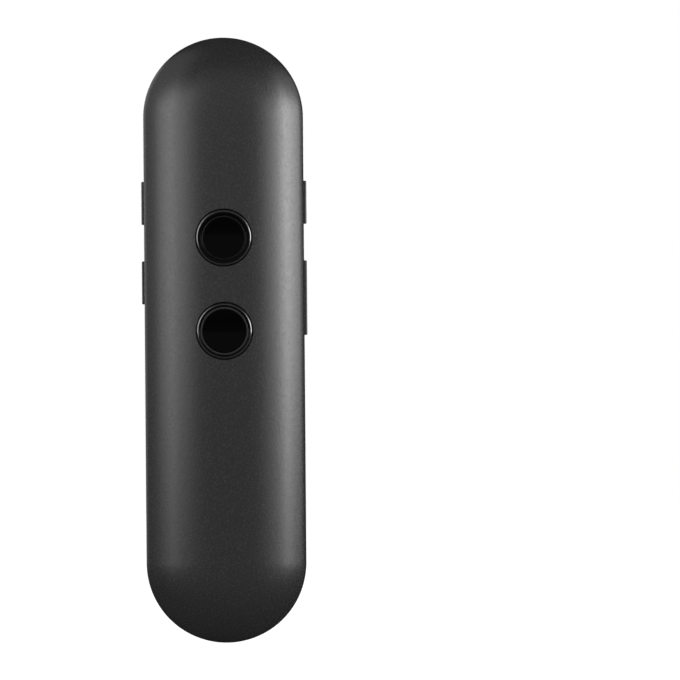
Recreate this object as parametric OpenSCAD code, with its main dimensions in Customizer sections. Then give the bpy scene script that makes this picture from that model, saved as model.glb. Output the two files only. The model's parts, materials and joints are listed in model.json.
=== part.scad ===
// Handheld voice translator, standing upright: +Z to the speaker end, front face toward -Y, back toward +Y.
// The origin is the middle of the body. All sizes are in millimetres.

/* [Body] */
// Width of the body across its flat sides
body_w = 40; // [38:0.5:46]
// Length of the body from end to end
body_l = 151.4; // [148:0.2:170]
// Thickness of the body from front face to back cover
body_t = 12; // [11.8:0.1:14]
// Width of the flat strip along the middle of both faces
face_flat = 16; // [15.9:0.1:17]
// Radius of the front face beside its flat strip
face_r = 30; // [26:0.5:34]
// Radius of the front corner, where the face turns into the side
corner_r = 5; // [4.4:0.1:5.4]
// Wall of the front shell
wall = 1.6; // [1.4:0.05:1.7]

/* [Back cover] */
// Fall of the back cover from its flat strip to its edge
cover_fall = 2.3; // [2:0.05:2.4]
// Wall of the back cover
cover_wall = 1.4; // [1.2:0.05:1.5]
// Width of the shell's rim that shows round the back cover
rim_w = 1.25; // [1.1:0.05:1.35]
// Width of the groove between the rim and the back cover
groove_w = 0.3; // [0.2:0.05:0.4]
// Height of the back cover's edge in its recess
cover_edge = 0.8; // [0.7:0.05:0.9]
// Radius of the rim's outer edge
rim_fillet = 0.5; // [0.3:0.05:0.6]
// Chamfer of the rim's inner edge
rim_chamfer = 0.15; // [0.1:0.05:0.2]
// Width of the ledge that the back cover rests on, inside the shell's wall
ledge_w = 0.8; // [0.6:0.1:1]
// Height of that ledge
ledge_h = 0.7; // [0.5:0.1:0.7]
// Length of a clip along the body
clip_l = 5; // [3:0.5:6]
// Thickness of a clip's tongue
clip_t = 0.9; // [0.7:0.1:1]
// Reach of a clip's bead into the shell's wall
clip_bite = 0.35; // [0.25:0.05:0.4]

/* [Grille] */
// Rings of holes round the grille's middle hole
grille_rings = 5; // [3:1:5]
// Distance from one ring of holes to the next
grille_pitch = 2.22; // [2:0.02:2.3]
// Diameter of a grille hole
grille_hole_d = 0.95; // [0.7:0.05:1.1]
// Diameter of a microphone hole
mic_hole_d = 1.05; // [0.8:0.05:1.2]
// Distance of a microphone's centre from the main board's side
mic_inset = 2.6; // [2.2:0.1:3]
// Distance of a microphone's centre from the main board's top edge
mic_drop = 2.1; // [2:0.05:2.4]

/* [Front buttons] */
// Distance from the main board's top edge down to the upper button's centre
upper_button_drop = 15.8; // [15.4:0.1:17]
// Distance between the two buttons' centres
button_pitch = 23.3; // [22:0.1:24]
// Diameter of the opening for a button
button_hole_d = 14.4; // [14:0.1:14.6]
// Gap between the opening and the bezel ring
bezel_gap = 0.2; // [0.1:0.05:0.3]
// Width of the upper button's bezel ring, seen from the front
upper_bezel_w = 1.4; // [1.2:0.05:1.6]
// Width of the lower button's bezel ring, seen from the front
lower_bezel_w = 0.85; // [0.8:0.05:1.1]
// Height of the bezel ring above the front face
bezel_proud = 0.2; // [0:0.05:0.4]
// Radius of the bezel ring's outer edge
bezel_round = 0.45; // [0.2:0.05:0.5]
// Diameter of the bezel ring's flange behind the wall
bezel_flange_d = 15.8; // [15.6:0.1:15.8]
// Thickness of the bezel ring's flange
bezel_flange_t = 0.6; // [0.5:0.05:0.65]
// Gap between the cap and the bezel ring
cap_gap = 0.1; // [0.05:0.01:0.15]
// Depth of the cap's top below the bezel ring's
cap_sink = 0.3; // [0.1:0.05:0.4]
// Depth of the shallow dish in the cap
cap_dish = 0.22; // [0.1:0.02:0.3]
// Width of the light ring round the upper button's cap
upper_ring_w = 0.25; // [0.2:0.05:0.4]
// Width of the light ring round the lower button's cap
lower_ring_w = 0.5; // [0.3:0.05:0.6]
// Depth of the light ring
light_ring_t = 0.9; // [0.6:0.1:1]
// Reach of the cap's flange past its own edge
cap_flange_w = 0.9; // [0.6:0.1:1]
// Thickness of the cap's flange
cap_flange_t = 0.5; // [0.4:0.05:0.55]
// Travel of a front button
button_travel = 0.4; // [0.2:0.05:0.4]

/* [Side keys] */
// Width of a side key across the body's thickness
key_w = 2.4; // [2.2:0.05:2.5]
// Distance from the rim down to the keys' centre line
key_inset = 2.2; // [2.15:0.05:2.3]
// Height of a side key above the body's side
key_proud = 0.7; // [0.4:0.05:1]
// Rounding of a side key's edges
key_round = 0.35; // [0.1:0.05:0.5]
// Gap between a side key and its slot
key_gap = 0.1; // [0.08:0.01:0.15]
// Length of a short key
short_key_l = 10.8; // [10:0.1:12]
// Distance from the main board's top edge down to the two upper keys' centres
upper_key_drop = 7; // [6.8:0.1:7.4]
// Distance from the upper keys' centres down to the lower left key's centre
lower_key_drop = 19.9; // [19:0.1:22]
// Length of the rocker key
rocker_l = 18.7; // [18:0.1:19]
// Distance from the upper keys' centres down to the rocker key's centre
rocker_drop = 23.9; // [23:0.1:25]
// Reach of a short key's flange past each end
key_flange_l = 1; // [0.6:0.1:1.2]
// Thickness of a key's flange
key_flange_t = 0.8; // [0.6:0.05:0.9]
// Distance of the rocker's two switches from its centre
rocker_lever = 6; // [5:0.1:6.5]
// Diameter of the rocker's pin
rocker_pin_d = 0.9; // [0.7:0.05:1]
// Distance of the rocker's pin from the wall's inner face
rocker_pin_inset = 1.1; // [1:0.05:1.2]
// Radius of the rocker's hub
rocker_hub_r = 0.95; // [0.8:0.05:1]
// Travel of a side key
key_travel = 0.3; // [0.15:0.05:0.3]

/* [Switches] */
// Side of a front switch's square body
front_switch_w = 5.2; // [4.5:0.1:6]
// Height of a front switch's body
front_switch_h = 0.7; // [0.65:0.05:0.75]
// Diameter of a front switch's stem
front_stem_d = 2.2; // [1.6:0.1:2.6]
// Width of a side switch's body along the board's edge
side_switch_w = 4.4; // [4:0.1:4.6]
// Depth of a side switch's body across the board
side_switch_d = 3.2; // [2.8:0.1:3.4]
// Distance of a side switch's face from the wall's inner face
side_switch_inset = 2; // [1.9:0.05:2.1]
// Diameter of a side switch's stem
side_stem_d = 1.2; // [1:0.1:1.4]
// Radial gap between a stem and its switch
stem_gap = 0.1; // [0.05:0.01:0.12]

/* [Boards] */
// Thickness of both boards
board_t = 1; // [0.8:0.1:1]
// Depth of the boards' front side, measured from the front wall's inner face
board_depth = 3; // [3:0.05:3.1]
// Gap between the main board's sides and the wall
board_side_gap = 2.4; // [2.2:0.1:2.6]
// Gap between the speaker and the main board's top edge
board_top_gap = 0.3; // [0.2:0.05:0.6]
// Length of the main board below the lower button's centre
board_tail = 11.3; // [11:0.1:12]
// Gap between the charge board's round edge and the wall
charge_board_gap = 1; // [0.6:0.1:1.2]
// Length of the charge board
charge_board_l = 12; // [11:0.1:12]
// Radius of a screw's shank
screw_r = 0.7; // [0.6:0.05:0.8]
// Radius of a screw's head
screw_head_r = 1.35; // [1.2:0.05:1.4]
// Height of a screw's head
screw_head_h = 0.6; // [0.5:0.05:0.8]
// Radius of a screw boss
boss_r = 1.8; // [1.6:0.05:1.9]

/* [Battery] */
// Width of the battery cell
cell_w = 28; // [24:0.5:28]
// Gap between the cell and the charge board
cell_gap = 1.1; // [0.8:0.1:6]
// Gap between the cell and the main board
cell_top_gap = 1; // [1:0.1:2]
// Thickness of the battery cell
cell_t = 4.7; // [4:0.1:4.8]
// Thickness of the double-sided tape under the cell
tape_t = 0.3; // [0.2:0.05:0.4]
// Diameter of a battery lead
lead_d = 0.9; // [0.6:0.1:1]
// Width of the flex cable
flex_w = 6; // [4:0.5:8]
// Thickness of the flex cable
flex_t = 0.2; // [0.15:0.05:0.25]

/* [Speaker] */
// Diameter of the speaker
speaker_d = 28; // [27:0.5:28.5]
// Width of the speaker's gasket
gasket_w = 1.4; // [1.2:0.1:1.6]
// Thickness of the gasket
gasket_t = 0.3; // [0.2:0.05:0.4]
// Height of the speaker's frame
speaker_h = 2.9; // [2.8:0.1:3.1]
// Diameter of the magnet pot
magnet_d = 15.2; // [14:0.2:16]
// Height of the magnet pot
magnet_h = 2.4; // [2.2:0.1:2.6]
// Thickness of the dust mesh
mesh_t = 0.2; // [0.1:0.05:0.25]

/* [Charging socket] */
// Width of the micro USB socket's steel shell
usb_w = 7.5; // [7.3:0.05:7.7]
// Height of the shell
usb_h = 2.5; // [2.4:0.05:2.55]
// Length of the shell
usb_l = 5; // [4.6:0.1:5.4]
// Sheet thickness of the shell
usb_sheet = 0.25; // [0.2:0.05:0.3]
// Depth of the socket's mouth inside the body's end
usb_sink = 0.6; // [0.5:0.05:0.8]
// Gap between the socket and its opening in the shell
usb_gap = 0.2; // [0.1:0.05:0.3]

/* [Hidden] */
$fn = 64;
// A cut runs this far past the face that it opens
cut = 1;
// Overlap of two shapes that are joined into one solid
join = 0.2;
half_w = body_w / 2;
half_l = body_l / 2;
half_t = body_t / 2;
half_flat = face_flat / 2;
// Centres of the two round ends lie this far above and below the middle
end_z = half_l - half_w;
// Front section: the face arc's centre, the corner arc's centre and the tilt where they meet
face_c = [half_flat, face_r - half_t];
face_tilt = asin((half_w - corner_r - half_flat) / (face_r - corner_r));
corner_c = face_c + (face_r - corner_r) * [sin(face_tilt), -cos(face_tilt)];
floor_y = -half_t + wall;
side_x = half_w - wall;
// Back section
cover_x = half_w - rim_w - groove_w;
cover_r = (pow(cover_x - half_flat, 2) + pow(cover_fall, 2)) / (2 * cover_fall);
cover_c = [half_flat, half_t - cover_r];
rim_y = half_t - cover_fall;
ledge_y = rim_y - cover_edge;
// The cover's inner side is flat over the grille, so that the mesh lies on it
pocket_depth = 0.3;
pocket_y = half_t - cover_wall - pocket_depth;
grille_r = grille_rings * grille_pitch + grille_hole_d / 2;
mesh_lap = 0.4;
mesh_r = grille_r + mesh_lap;
mesh_gap = 0.2;
// Boards: the main board hangs below the speaker, and the charge board lies in the round end
speaker_r = speaker_d / 2;
board_y = floor_y + board_depth;
board_back_y = board_y + board_t;
board_w = 2 * (side_x - board_side_gap);
board_top_z = end_z - speaker_r - board_top_gap;
upper_button_z = board_top_z - upper_button_drop;
lower_button_z = upper_button_z - button_pitch;
board_bottom_z = lower_button_z - board_tail;
charge_board_r = side_x - charge_board_gap;
charge_board_z = -end_z - charge_board_r;
charge_board_top_z = charge_board_z + charge_board_l;
// Battery: the cell fills the room between the two boards
cell_y = board_y;
cell_top_z = board_bottom_z - cell_top_gap;
cell_bottom_z = charge_board_top_z + cell_gap;
cell_l = cell_top_z - cell_bottom_z;
// Clips: room round a tongue, drop of the bead below the ledge, its height and the gap before it
clip_gap = 0.2;
bead_drop = 1.3;
bead_h = 0.8;
bead_gap = 0.15;
clip_x = side_x - clip_gap;
// Heights of the pairs of clips: three along the cell and one beside the speaker
clip_z = [cell_bottom_z + 8, (cell_bottom_z + cell_top_z) / 2 + 3, cell_top_z - 2, board_top_z + 5.1];
// Side keys
upper_key_z = board_top_z - upper_key_drop;
lower_key_z = upper_key_z - lower_key_drop;
rocker_z = upper_key_z - rocker_drop;
key_y = rim_y - key_inset;
flange_x = side_x - key_gap;
stem_x = flange_x - key_flange_t;
switch_x = side_x - side_switch_inset;
// A stem's length inside its switch, and what is left below it when it is pressed
stem_l = 1.5;
bore_spare = 0.1;
// The rocker's pin, and the lug on the shell that holds it
pin_x = side_x - rocker_pin_inset;
pin_low_y = board_y + 0.3;
pin_bore_gap = 0.05;
lug_w = 2.6;
lug_reach = 1;
lug_floor = 0.2;
// Skin over the pin's end in the rocker's hub
hub_skin = 0.3;
// Front buttons
bezel_r = button_hole_d / 2 - bezel_gap;
bezel_y = -half_t - bezel_proud;
bezel_back_y = floor_y + bezel_flange_t;
// Radius of the cap inside a bezel of width w
function cap_r(w) = bezel_r - w - cap_gap;
cap_y = bezel_y + cap_sink;
cap_flange_y = bezel_back_y + cap_gap;
cap_back_y = cap_flange_y + cap_flange_t;
front_switch_y = board_y - front_switch_h;
front_stem_y = front_switch_y - button_travel;
front_bore_y = board_y - 0.1;
opening_chamfer = 0.16;
plunger_r = front_stem_d / 2 + 0.4;
cap_skin = 0.8;
ring_chamfer = 0.15;
led_size = [0.8, 0.6, 1.6];
led_x = cap_r(lower_bezel_w) - lower_ring_w / 2;
// The caps' flanges lie behind the bezels, so both have the larger cap's size
cap_flange_r = cap_r(lower_bezel_w) + cap_flange_w;
cell_round = 1.2;
tape_w = 7;
tape_x = 8.5;
tape_inset = 3;
rail_w = 1.2;
guard_board_h = 2.6;
guard_board_t = 0.6;
guard_board_inset = 3;
lead_x = 1.5;
// Laps of the flex cable over the charge board and the main board
flex_laps = [6, 5];
// Charging socket
usb_y = board_back_y + usb_h / 2;
usb_z = -half_l + usb_sink;
usb_slope = 0.8;
usb_back_t = 0.3;
tongue_base = 1;
tongue_t = 0.6;
tongue_inset = 1.4;
tongue_sink = 0.6;
// Speaker
// The frame's rim stands out past the gasket
gasket_r = speaker_r - 0.2;
// Height of the cover's ring over the gasket
gasket_ring_h = 1.1;
gasket_y = pocket_y - gasket_ring_h;
frame_y = gasket_y - gasket_t;
frame_back_y = frame_y - speaker_h;
frame_sheet = 0.6;
frame_wall = 0.5;
// Depth of the magnet pot inside the frame
magnet_lap = 0.8;
magnet_y = frame_back_y - (magnet_h - magnet_lap);
pot_wall = 0.8;
pot_slot = 0.9;
pot_base = 0.7;
coil_r = magnet_d / 2 - pot_wall - pot_slot / 2;
coil_t = 0.4;
coil_sink = 1;
coil_floor = 0.3;
cone_t = 0.25;
speaker_lead_r = 0.35;
speaker_lead_x = [6, 7.6];
speaker_lead_lap = 1.6;
// Microphones
mic_x = board_w / 2 - mic_inset;
mic_z = board_top_z - mic_drop;
mic_size = [3, 1.1, 3.8];
mic_port_r = 0.3;
mic_y = board_back_y + mic_size[1];
boot_r = 2;
// The boot ends where the cover's inner side is lowest over it
boot_y = cover_c[1] + sqrt(pow(cover_r - cover_wall, 2) - pow(mic_x + boot_r - half_flat, 2));
boot_seat_r = boot_r + 0.2;
boot_seat_y = ledge_y + 1.4;
// Screws: distances from the middle, and from the boards' edges
screw_x = [8.5, 11, 10];
screw_drop = 3.9;
screw_rise = [2.5, 8.6];
main_screws = [for (s = [-1, 1]) [s * screw_x[0], board_top_z - screw_drop],
    for (s = [-1, 1]) [s * screw_x[1], board_bottom_z + screw_rise[0]]];
charge_screws = [for (s = [-1, 1]) [s * screw_x[2], charge_board_z + screw_rise[1]]];
screw_gap = 0.02;
screw_hole_gap = 0.15;
// The screws' tips and their bores end this far from the front wall's inner face
screw_tip = 0.6;
screw_bore = 0.4;
screw_cross = [1.5, 0.6, 0.3];
// Electronics: drops of the packages' centres below the main board's top edge
processor_drop = 19.4;
memory_drop = 33.4;
codec_drop = 32.4;
crystal_drop = 28;
antenna_drop = 1.8;
// Distance of the power chip's and the crystal's centres from the board's side
power_inset = 6.6;
// Heights of the battery socket and the charge chip above their boards' lower edges
socket_rise = 2.6;
charge_chip_rise = 6.1;
// A package is [x, z, width, height along Z, thickness]
processor_size = [-4, board_top_z - processor_drop, 10, 10, 0.9];
shield_size = [-4, board_top_z - processor_drop, 14, 15, 1.5];
// The radio module lies between the upper key's switch and the rocker's
radio_size = [8.2, (upper_key_z + rocker_z + rocker_lever) / 2, 8, 12, 1.8];
memory_size = [-6, board_top_z - memory_drop, 8, 7, 0.8];
audio_size = [2.6, board_top_z - codec_drop, 4.4, 4.4, 0.7];
power_size = [board_w / 2 - power_inset, board_top_z - codec_drop, 4, 4, 0.7];
crystal_size = [board_w / 2 - power_inset, board_top_z - crystal_drop, 3.2, 2.5, 0.8];
antenna_size = [0, board_top_z - antenna_drop, 8, 2.2, 1];
socket_size = [0, board_bottom_z + socket_rise, 7, 3.6, 2.6];
charge_chip_size = [-5.2, charge_board_z + charge_chip_rise, 3, 3, 0.8];
shield_sheet = 0.15;
socket_wall = [0.5, 0.5, 0.6];
socket_roof = 0.4;
plug_gap = 0.1;

// ---- Shared shapes ----

// Sweeps a half section round the stadium outline: its x is the distance from the centre line, its y is Y
module round_the_body() {
    translate([0, 0, -end_z])
        rotate([-90, 0, 0])
            rotate_extrude(angle = 180)
                children();
    translate([0, 0, end_z])
        rotate([0, 180, 0])
            rotate([-90, 0, 0])
                rotate_extrude(angle = 180)
                    children();
    translate([0, 0, -end_z])
        linear_extrude(2 * end_z) {
            children();
            mirror([1, 0])
                children();
        }
}

// Half section of the front form, moved inward by inset and filled up to y = top
module front_half(inset, top) {
    low = -half_t + inset;
    // The line through both arc centres meets both arcs where they touch
    past = face_c + (face_r + cut) * [sin(face_tilt), -cos(face_tilt)];
    translate([0, low])
        square([half_flat, top - low]);
    intersection() {
        translate(face_c)
            circle(face_r - inset);
        polygon([[half_flat - join, top], [half_flat - join, -half_t - cut], past, corner_c,
            [corner_c[0], top]]);
    }
    // The corner's circle touches the face arc from inside
    intersection() {
        translate(corner_c)
            circle(corner_r - inset);
        translate([0, -half_t])
            square([half_w, half_t + top]);
    }
    translate([half_flat, corner_c[1]])
        square([half_w - inset - half_flat, top - corner_c[1]]);
}

// Half section of the back form, moved inward by inset, from y = low up, and no wider than reach
module back_half(inset, low, reach) {
    intersection() {
        translate(cover_c)
            circle(cover_r - inset);
        translate([half_flat - join, low])
            square([reach - half_flat + join, half_t - low]);
    }
    translate([0, low])
        square([half_flat, half_t - inset - low]);
}

// A cylinder along Y from y = a to y = b at [x, z]
module along_y(x, z, r, a, b) {
    translate([x, a, z])
        rotate([-90, 0, 0])
            cylinder(r = r, h = b - a);
}

// A ring along Y from y = a to y = b at [x, z]
module ring_y(x, z, outer, inner, a, b) {
    difference() {
        along_y(x, z, outer, a, b);
        along_y(x, z, inner, a - cut, b + cut);
    }
}

// Turns a section drawn as [radius, y] round the Y axis at [x, z]
module turned(x, z) {
    translate([x, 0, z])
        rotate([-90, 0, 0])
            rotate_extrude()
                children();
}

// A box between two corners
module span(low, high) {
    translate(low)
        cube(high - low);
}

// A flat package on the boards' back side
module package(size) {
    translate([size[0] - size[2] / 2, board_back_y, size[1] - size[3] / 2])
        cube([size[2], size[4], size[3]]);
}

// A square with rounded corners, centred
module rounded_square(w, h, r) {
    square([w - 2 * r, h], center = true);
    square([w, h - 2 * r], center = true);
    for (i = [-1, 1], j = [-1, 1])
        translate([i * (w / 2 - r), j * (h / 2 - r)])
            circle(r);
}

// A bar of length l at height z, from x = a to x = b, whose outer face has rounded edges and corners
module key_bar(a, b, z, l) {
    r = min(key_round, key_w / 2 - 0.1);
    depth = 2 * (b - a);
    intersection() {
        translate([a, key_y, z])
            rotate([90, 0, 90])
                linear_extrude(b - a)
                    rounded_square(key_w, l, r);
        translate([a, key_y, z - l / 2])
            linear_extrude(l)
                rounded_square(depth, key_w, r);
        translate([a, key_y + key_w / 2, z])
            rotate([90, 0, 0])
                linear_extrude(key_w)
                    rounded_square(depth, l, r);
    }
}

// ---- Casing ----

module shell_half() {
    difference() {
        front_half(0, rim_y);
        front_half(wall, ledge_y - ledge_h);
        translate([0, ledge_y - ledge_h - cut])
            square([side_x - ledge_w, ledge_h + 2 * cut]);
        translate([0, ledge_y])
            square([half_w - rim_w, cover_edge + cut]);
        // Rounded outer edge of the rim
        difference() {
            translate([half_w - rim_fillet, rim_y - rim_fillet])
                square(rim_fillet + cut);
            translate([half_w - rim_fillet, rim_y - rim_fillet])
                circle(rim_fillet);
        }
        // Chamfered inner edge of the rim
        polygon([[half_w - rim_w - cut, rim_y], [half_w - rim_w, rim_y - rim_chamfer],
            [half_w - rim_w + rim_chamfer + cut, rim_y + cut], [half_w - rim_w - cut, rim_y + cut]]);
    }
}

// A screw boss on the front wall's inner side
module boss(x, z) {
    along_y(x, z, boss_r, floor_y - join, board_y);
}

// The slot for a side key on the right side, at height z and of length l
module key_slot(z, l) {
    span([side_x - cut, key_y - key_w / 2 - key_gap, z - l / 2 - key_gap],
        [half_w + cut, key_y + key_w / 2 + key_gap, z + l / 2 + key_gap]);
    // The ledge stops where the key's flange moves
    span([side_x - ledge_w - cut, ledge_y - ledge_h - cut / 2, z - l / 2 - key_flange_l - 3 * key_gap],
        [side_x, ledge_y + cut, z + l / 2 + key_flange_l + 3 * key_gap]);
}

// Room in the shell's wall for one clip's tongue and bead, on the right side
module clip_pocket(z) {
    reach = clip_l / 2 + clip_gap;
    bead_top = ledge_y - bead_drop;
    span([side_x - ledge_w - cut, ledge_y - ledge_h - cut / 2, z - reach],
        [side_x, ledge_y + cut, z + reach]);
    span([side_x - cut, bead_top - bead_h - clip_gap / 2, z - reach],
        [clip_x + clip_bite + bead_gap, bead_top + clip_gap / 2, z + reach]);
}

module front_shell() {
    color([0.2, 0.2, 0.21])
        difference() {
            union() {
                difference() {
                    round_the_body()
                        shell_half();
                    for (z = clip_z) {
                        clip_pocket(z);
                        mirror([1, 0, 0])
                            clip_pocket(z);
                    }
                    key_slot(upper_key_z, short_key_l);
                    key_slot(rocker_z, rocker_l + 2 * key_gap);
                    mirror([1, 0, 0]) {
                        key_slot(upper_key_z, short_key_l);
                        key_slot(lower_key_z, short_key_l);
                    }
                }
                for (p = concat(main_screws, charge_screws))
                    boss(p[0], p[1]);
                // Two rails carry the battery's tape
                for (x = [-tape_x, tape_x])
                    span([x - rail_w / 2, floor_y - join, cell_bottom_z + tape_inset],
                        [x + rail_w / 2, cell_y - tape_t, cell_top_z - tape_inset]);
                // Lug that holds the rocker's pin
                span([pin_x - lug_reach, pin_low_y - lug_floor, rocker_z - lug_w / 2],
                    [side_x + wall / 2, key_y - key_w / 2 - 2 * key_gap, rocker_z + lug_w / 2]);
            }
            for (z = [upper_button_z, lower_button_z]) {
                along_y(0, z, button_hole_d / 2, -half_t - cut, floor_y + cut);
                // Fine chamfer round the opening
                translate([0, -half_t, z])
                    rotate([-90, 0, 0])
                        cylinder(h = opening_chamfer, d1 = button_hole_d + 2 * opening_chamfer,
                            d2 = button_hole_d);
            }
            for (p = concat(main_screws, charge_screws))
                along_y(p[0], p[1], screw_r + screw_gap, floor_y + screw_bore, board_y + cut);
            along_y(pin_x, rocker_z, rocker_pin_d / 2 + screw_gap, pin_low_y, key_y);
            // Opening for the charging socket
            translate([0, usb_y, -half_l - cut])
                linear_extrude(wall + 3 * cut)
                    rounded_square(usb_w + 2 * usb_gap, usb_h + 2 * usb_gap, usb_gap + usb_sheet);
        }
}

module cover_half() {
    difference() {
        back_half(0, ledge_y, cover_x);
        back_half(cover_wall, ledge_y - cut, side_x - ledge_w);
    }
}

// A tongue with a bead that snaps into the shell's wall, on the right side
module clip(z) {
    low = -bead_drop - bead_h;
    flank = 3 / 8 * bead_h;
    span([clip_x - clip_t, ledge_y + low, z - clip_l / 2], [clip_x, ledge_y + join, z + clip_l / 2]);
    translate([clip_x, ledge_y, z - clip_l / 2])
        linear_extrude(clip_l)
            polygon([[-join, low], [0, low], [clip_bite, low + flank], [clip_bite, -bead_drop - flank],
                [0, -bead_drop], [-join, -bead_drop]]);
}

module grille_hole(x, z) {
    along_y(x, z, grille_hole_d / 2, pocket_y - cut, half_t + cut);
}

// One ring of holes: n holes at radius r, the first straight up
module hole_ring(n, r) {
    for (i = [0:n - 1])
        grille_hole(r * sin(i * 360 / n), end_z + r * cos(i * 360 / n));
}

module back_cover() {
    color([0.21, 0.21, 0.22])
        difference() {
            union() {
                round_the_body()
                    cover_half();
                // Ring that carries the speaker's gasket
                ring_y(0, end_z, gasket_r, gasket_r - gasket_w, gasket_y, pocket_y + join);
                // Seats of the two microphone boots
                for (x = [-mic_x, mic_x])
                    along_y(x, mic_z, boot_seat_r, boot_y, boot_seat_y);
                for (z = clip_z) {
                    clip(z);
                    mirror([1, 0, 0])
                        clip(z);
                }
            }
            // Flat floor over the grille
            along_y(0, end_z, mesh_r + mesh_gap, gasket_y - cut, pocket_y);
            grille_hole(0, end_z);
            for (k = [1:grille_rings])
                hole_ring(6 * k, k * grille_pitch);
            for (x = [-mic_x, mic_x])
                along_y(x, mic_z, mic_hole_d / 2, gasket_y - cut, half_t + cut);
        }
}

// ---- Front buttons ----

module bezel(z, w) {
    color([0.03, 0.03, 0.03])
        turned(0, z) {
            translate([bezel_r - w, bezel_y + bezel_round])
                square([w, bezel_back_y - bezel_y - bezel_round]);
            translate([bezel_r - w, bezel_y])
                square([w - bezel_round, bezel_round + join]);
            translate([bezel_r - bezel_round, bezel_y + bezel_round])
                circle(bezel_round);
            translate([bezel_r - w, floor_y])
                square([bezel_flange_d / 2 - bezel_r + w, bezel_flange_t]);
        }
}

module upper_button_bezel() { bezel(upper_button_z, upper_bezel_w); }
module lower_button_bezel() { bezel(lower_button_z, lower_bezel_w); }

module button_cap(z, r, ring_w) {
    disc_r = r - ring_w;
    dish_r = (pow(disc_r, 2) + pow(cap_dish, 2)) / (2 * cap_dish);
    shoulder_y = cap_y + light_ring_t;
    color([0.02, 0.02, 0.02])
        turned(0, z)
            difference() {
                union() {
                    translate([0, cap_y])
                        square([disc_r, light_ring_t]);
                    translate([0, shoulder_y])
                        square([r, cap_flange_y - shoulder_y]);
                    translate([0, cap_flange_y])
                        square([cap_flange_r, cap_flange_t]);
                    translate([0, cap_back_y])
                        square([plunger_r, front_stem_y - cap_back_y]);
                }
                // Shallow dish in the top
                translate([0, cap_y + cap_dish - dish_r])
                    circle(dish_r, $fn = 720);
                // The cap is hollow round its plunger
                translate([plunger_r + cap_skin, shoulder_y + cap_skin / 4])
                    square([r - plunger_r - 2 * cap_skin, cap_back_y - shoulder_y]);
            }
}

module upper_button_cap() { button_cap(upper_button_z, cap_r(upper_bezel_w), upper_ring_w); }
module lower_button_cap() { button_cap(lower_button_z, cap_r(lower_bezel_w), lower_ring_w); }

module light_ring(z, r, ring_w) {
    color([0.16, 0.16, 0.16])
        turned(0, z)
            polygon([[r - ring_w, cap_y], [r - ring_chamfer, cap_y], [r, cap_y + ring_chamfer],
                [r, cap_y + light_ring_t], [r - ring_w, cap_y + light_ring_t]]);
}

module upper_light_ring() { light_ring(upper_button_z, cap_r(upper_bezel_w), upper_ring_w); }
module lower_light_ring() { light_ring(lower_button_z, cap_r(lower_bezel_w), lower_ring_w); }

module front_switch(z) {
    w = front_switch_w;
    color([0.12, 0.12, 0.12])
        difference() {
            span([-w / 2, front_switch_y, z - w / 2], [w / 2, board_y, z + w / 2]);
            along_y(0, z, front_stem_d / 2 + stem_gap, front_switch_y - cut, front_bore_y);
        }
}

module upper_button_switch() { front_switch(upper_button_z); }
module lower_button_switch() { front_switch(lower_button_z); }

// The stem's inner end stops short of the bore's floor by the travel and a little more
module front_stem(z) {
    color([0.85, 0.83, 0.78])
        along_y(0, z, front_stem_d / 2, front_stem_y, front_bore_y - button_travel - bore_spare);
}

module upper_button_stem() { front_stem(upper_button_z); }
module lower_button_stem() { front_stem(lower_button_z); }

// ---- Side keys ----

module short_key(z) {
    color([0.1, 0.1, 0.1]) {
        key_bar(flange_x - key_flange_t / 2, half_w + key_proud, z, short_key_l);
        span([stem_x, key_y - key_w / 2, z - short_key_l / 2 - key_flange_l],
            [flange_x, key_y + key_w / 2, z + short_key_l / 2 + key_flange_l]);
    }
}

module right_upper_key() { short_key(upper_key_z); }
module left_upper_key() { mirror([1, 0, 0]) short_key(upper_key_z); }
module left_lower_key() { mirror([1, 0, 0]) short_key(lower_key_z); }

module right_rocker_key() {
    bar_x = side_x - key_flange_t / 2;
    color([0.1, 0.1, 0.1])
        difference() {
            union() {
                key_bar(bar_x, half_w + key_proud, rocker_z, rocker_l);
                along_y(pin_x, rocker_z, rocker_hub_r, key_y - key_w / 2, key_y + key_w / 2);
                span([pin_x, key_y - key_w / 2, rocker_z - rocker_hub_r],
                    [bar_x + join, key_y + key_w / 2, rocker_z + rocker_hub_r]);
                for (s = [-1, 1])
                    translate([stem_x, key_y, rocker_z + s * rocker_lever])
                        rotate([0, 90, 0])
                            cylinder(r = side_stem_d / 2 + 0.2, h = bar_x - stem_x + join);
            }
            along_y(pin_x, rocker_z, rocker_pin_d / 2 + pin_bore_gap,
                key_y - key_w / 2 - cut, key_y + key_w / 2 - hub_skin);
        }
}

module rocker_pin() {
    color([0.75, 0.75, 0.76])
        along_y(pin_x, rocker_z, rocker_pin_d / 2, pin_low_y,
            key_y + key_w / 2 - hub_skin - 2 * pin_bore_gap);
}

// A side switch on the right, at height z
module side_switch(z) {
    w = side_switch_w;
    color([0.12, 0.12, 0.12])
        difference() {
            span([switch_x - side_switch_d, board_back_y, z - w / 2],
                [switch_x, key_y + key_w / 2, z + w / 2]);
            translate([stem_x - key_travel - stem_l - bore_spare, key_y, z])
                rotate([0, 90, 0])
                    cylinder(r = side_stem_d / 2 + stem_gap, h = 2 * stem_l);
        }
}

module side_stem(z) {
    color([0.85, 0.83, 0.78])
        translate([stem_x - stem_l, key_y, z])
            rotate([0, 90, 0])
                cylinder(r = side_stem_d / 2, h = stem_l);
}

module right_upper_switch() { side_switch(upper_key_z); }
module left_upper_switch() { mirror([1, 0, 0]) side_switch(upper_key_z); }
module left_lower_switch() { mirror([1, 0, 0]) side_switch(lower_key_z); }
module rocker_top_switch() { side_switch(rocker_z + rocker_lever); }
module rocker_bottom_switch() { side_switch(rocker_z - rocker_lever); }

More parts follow.
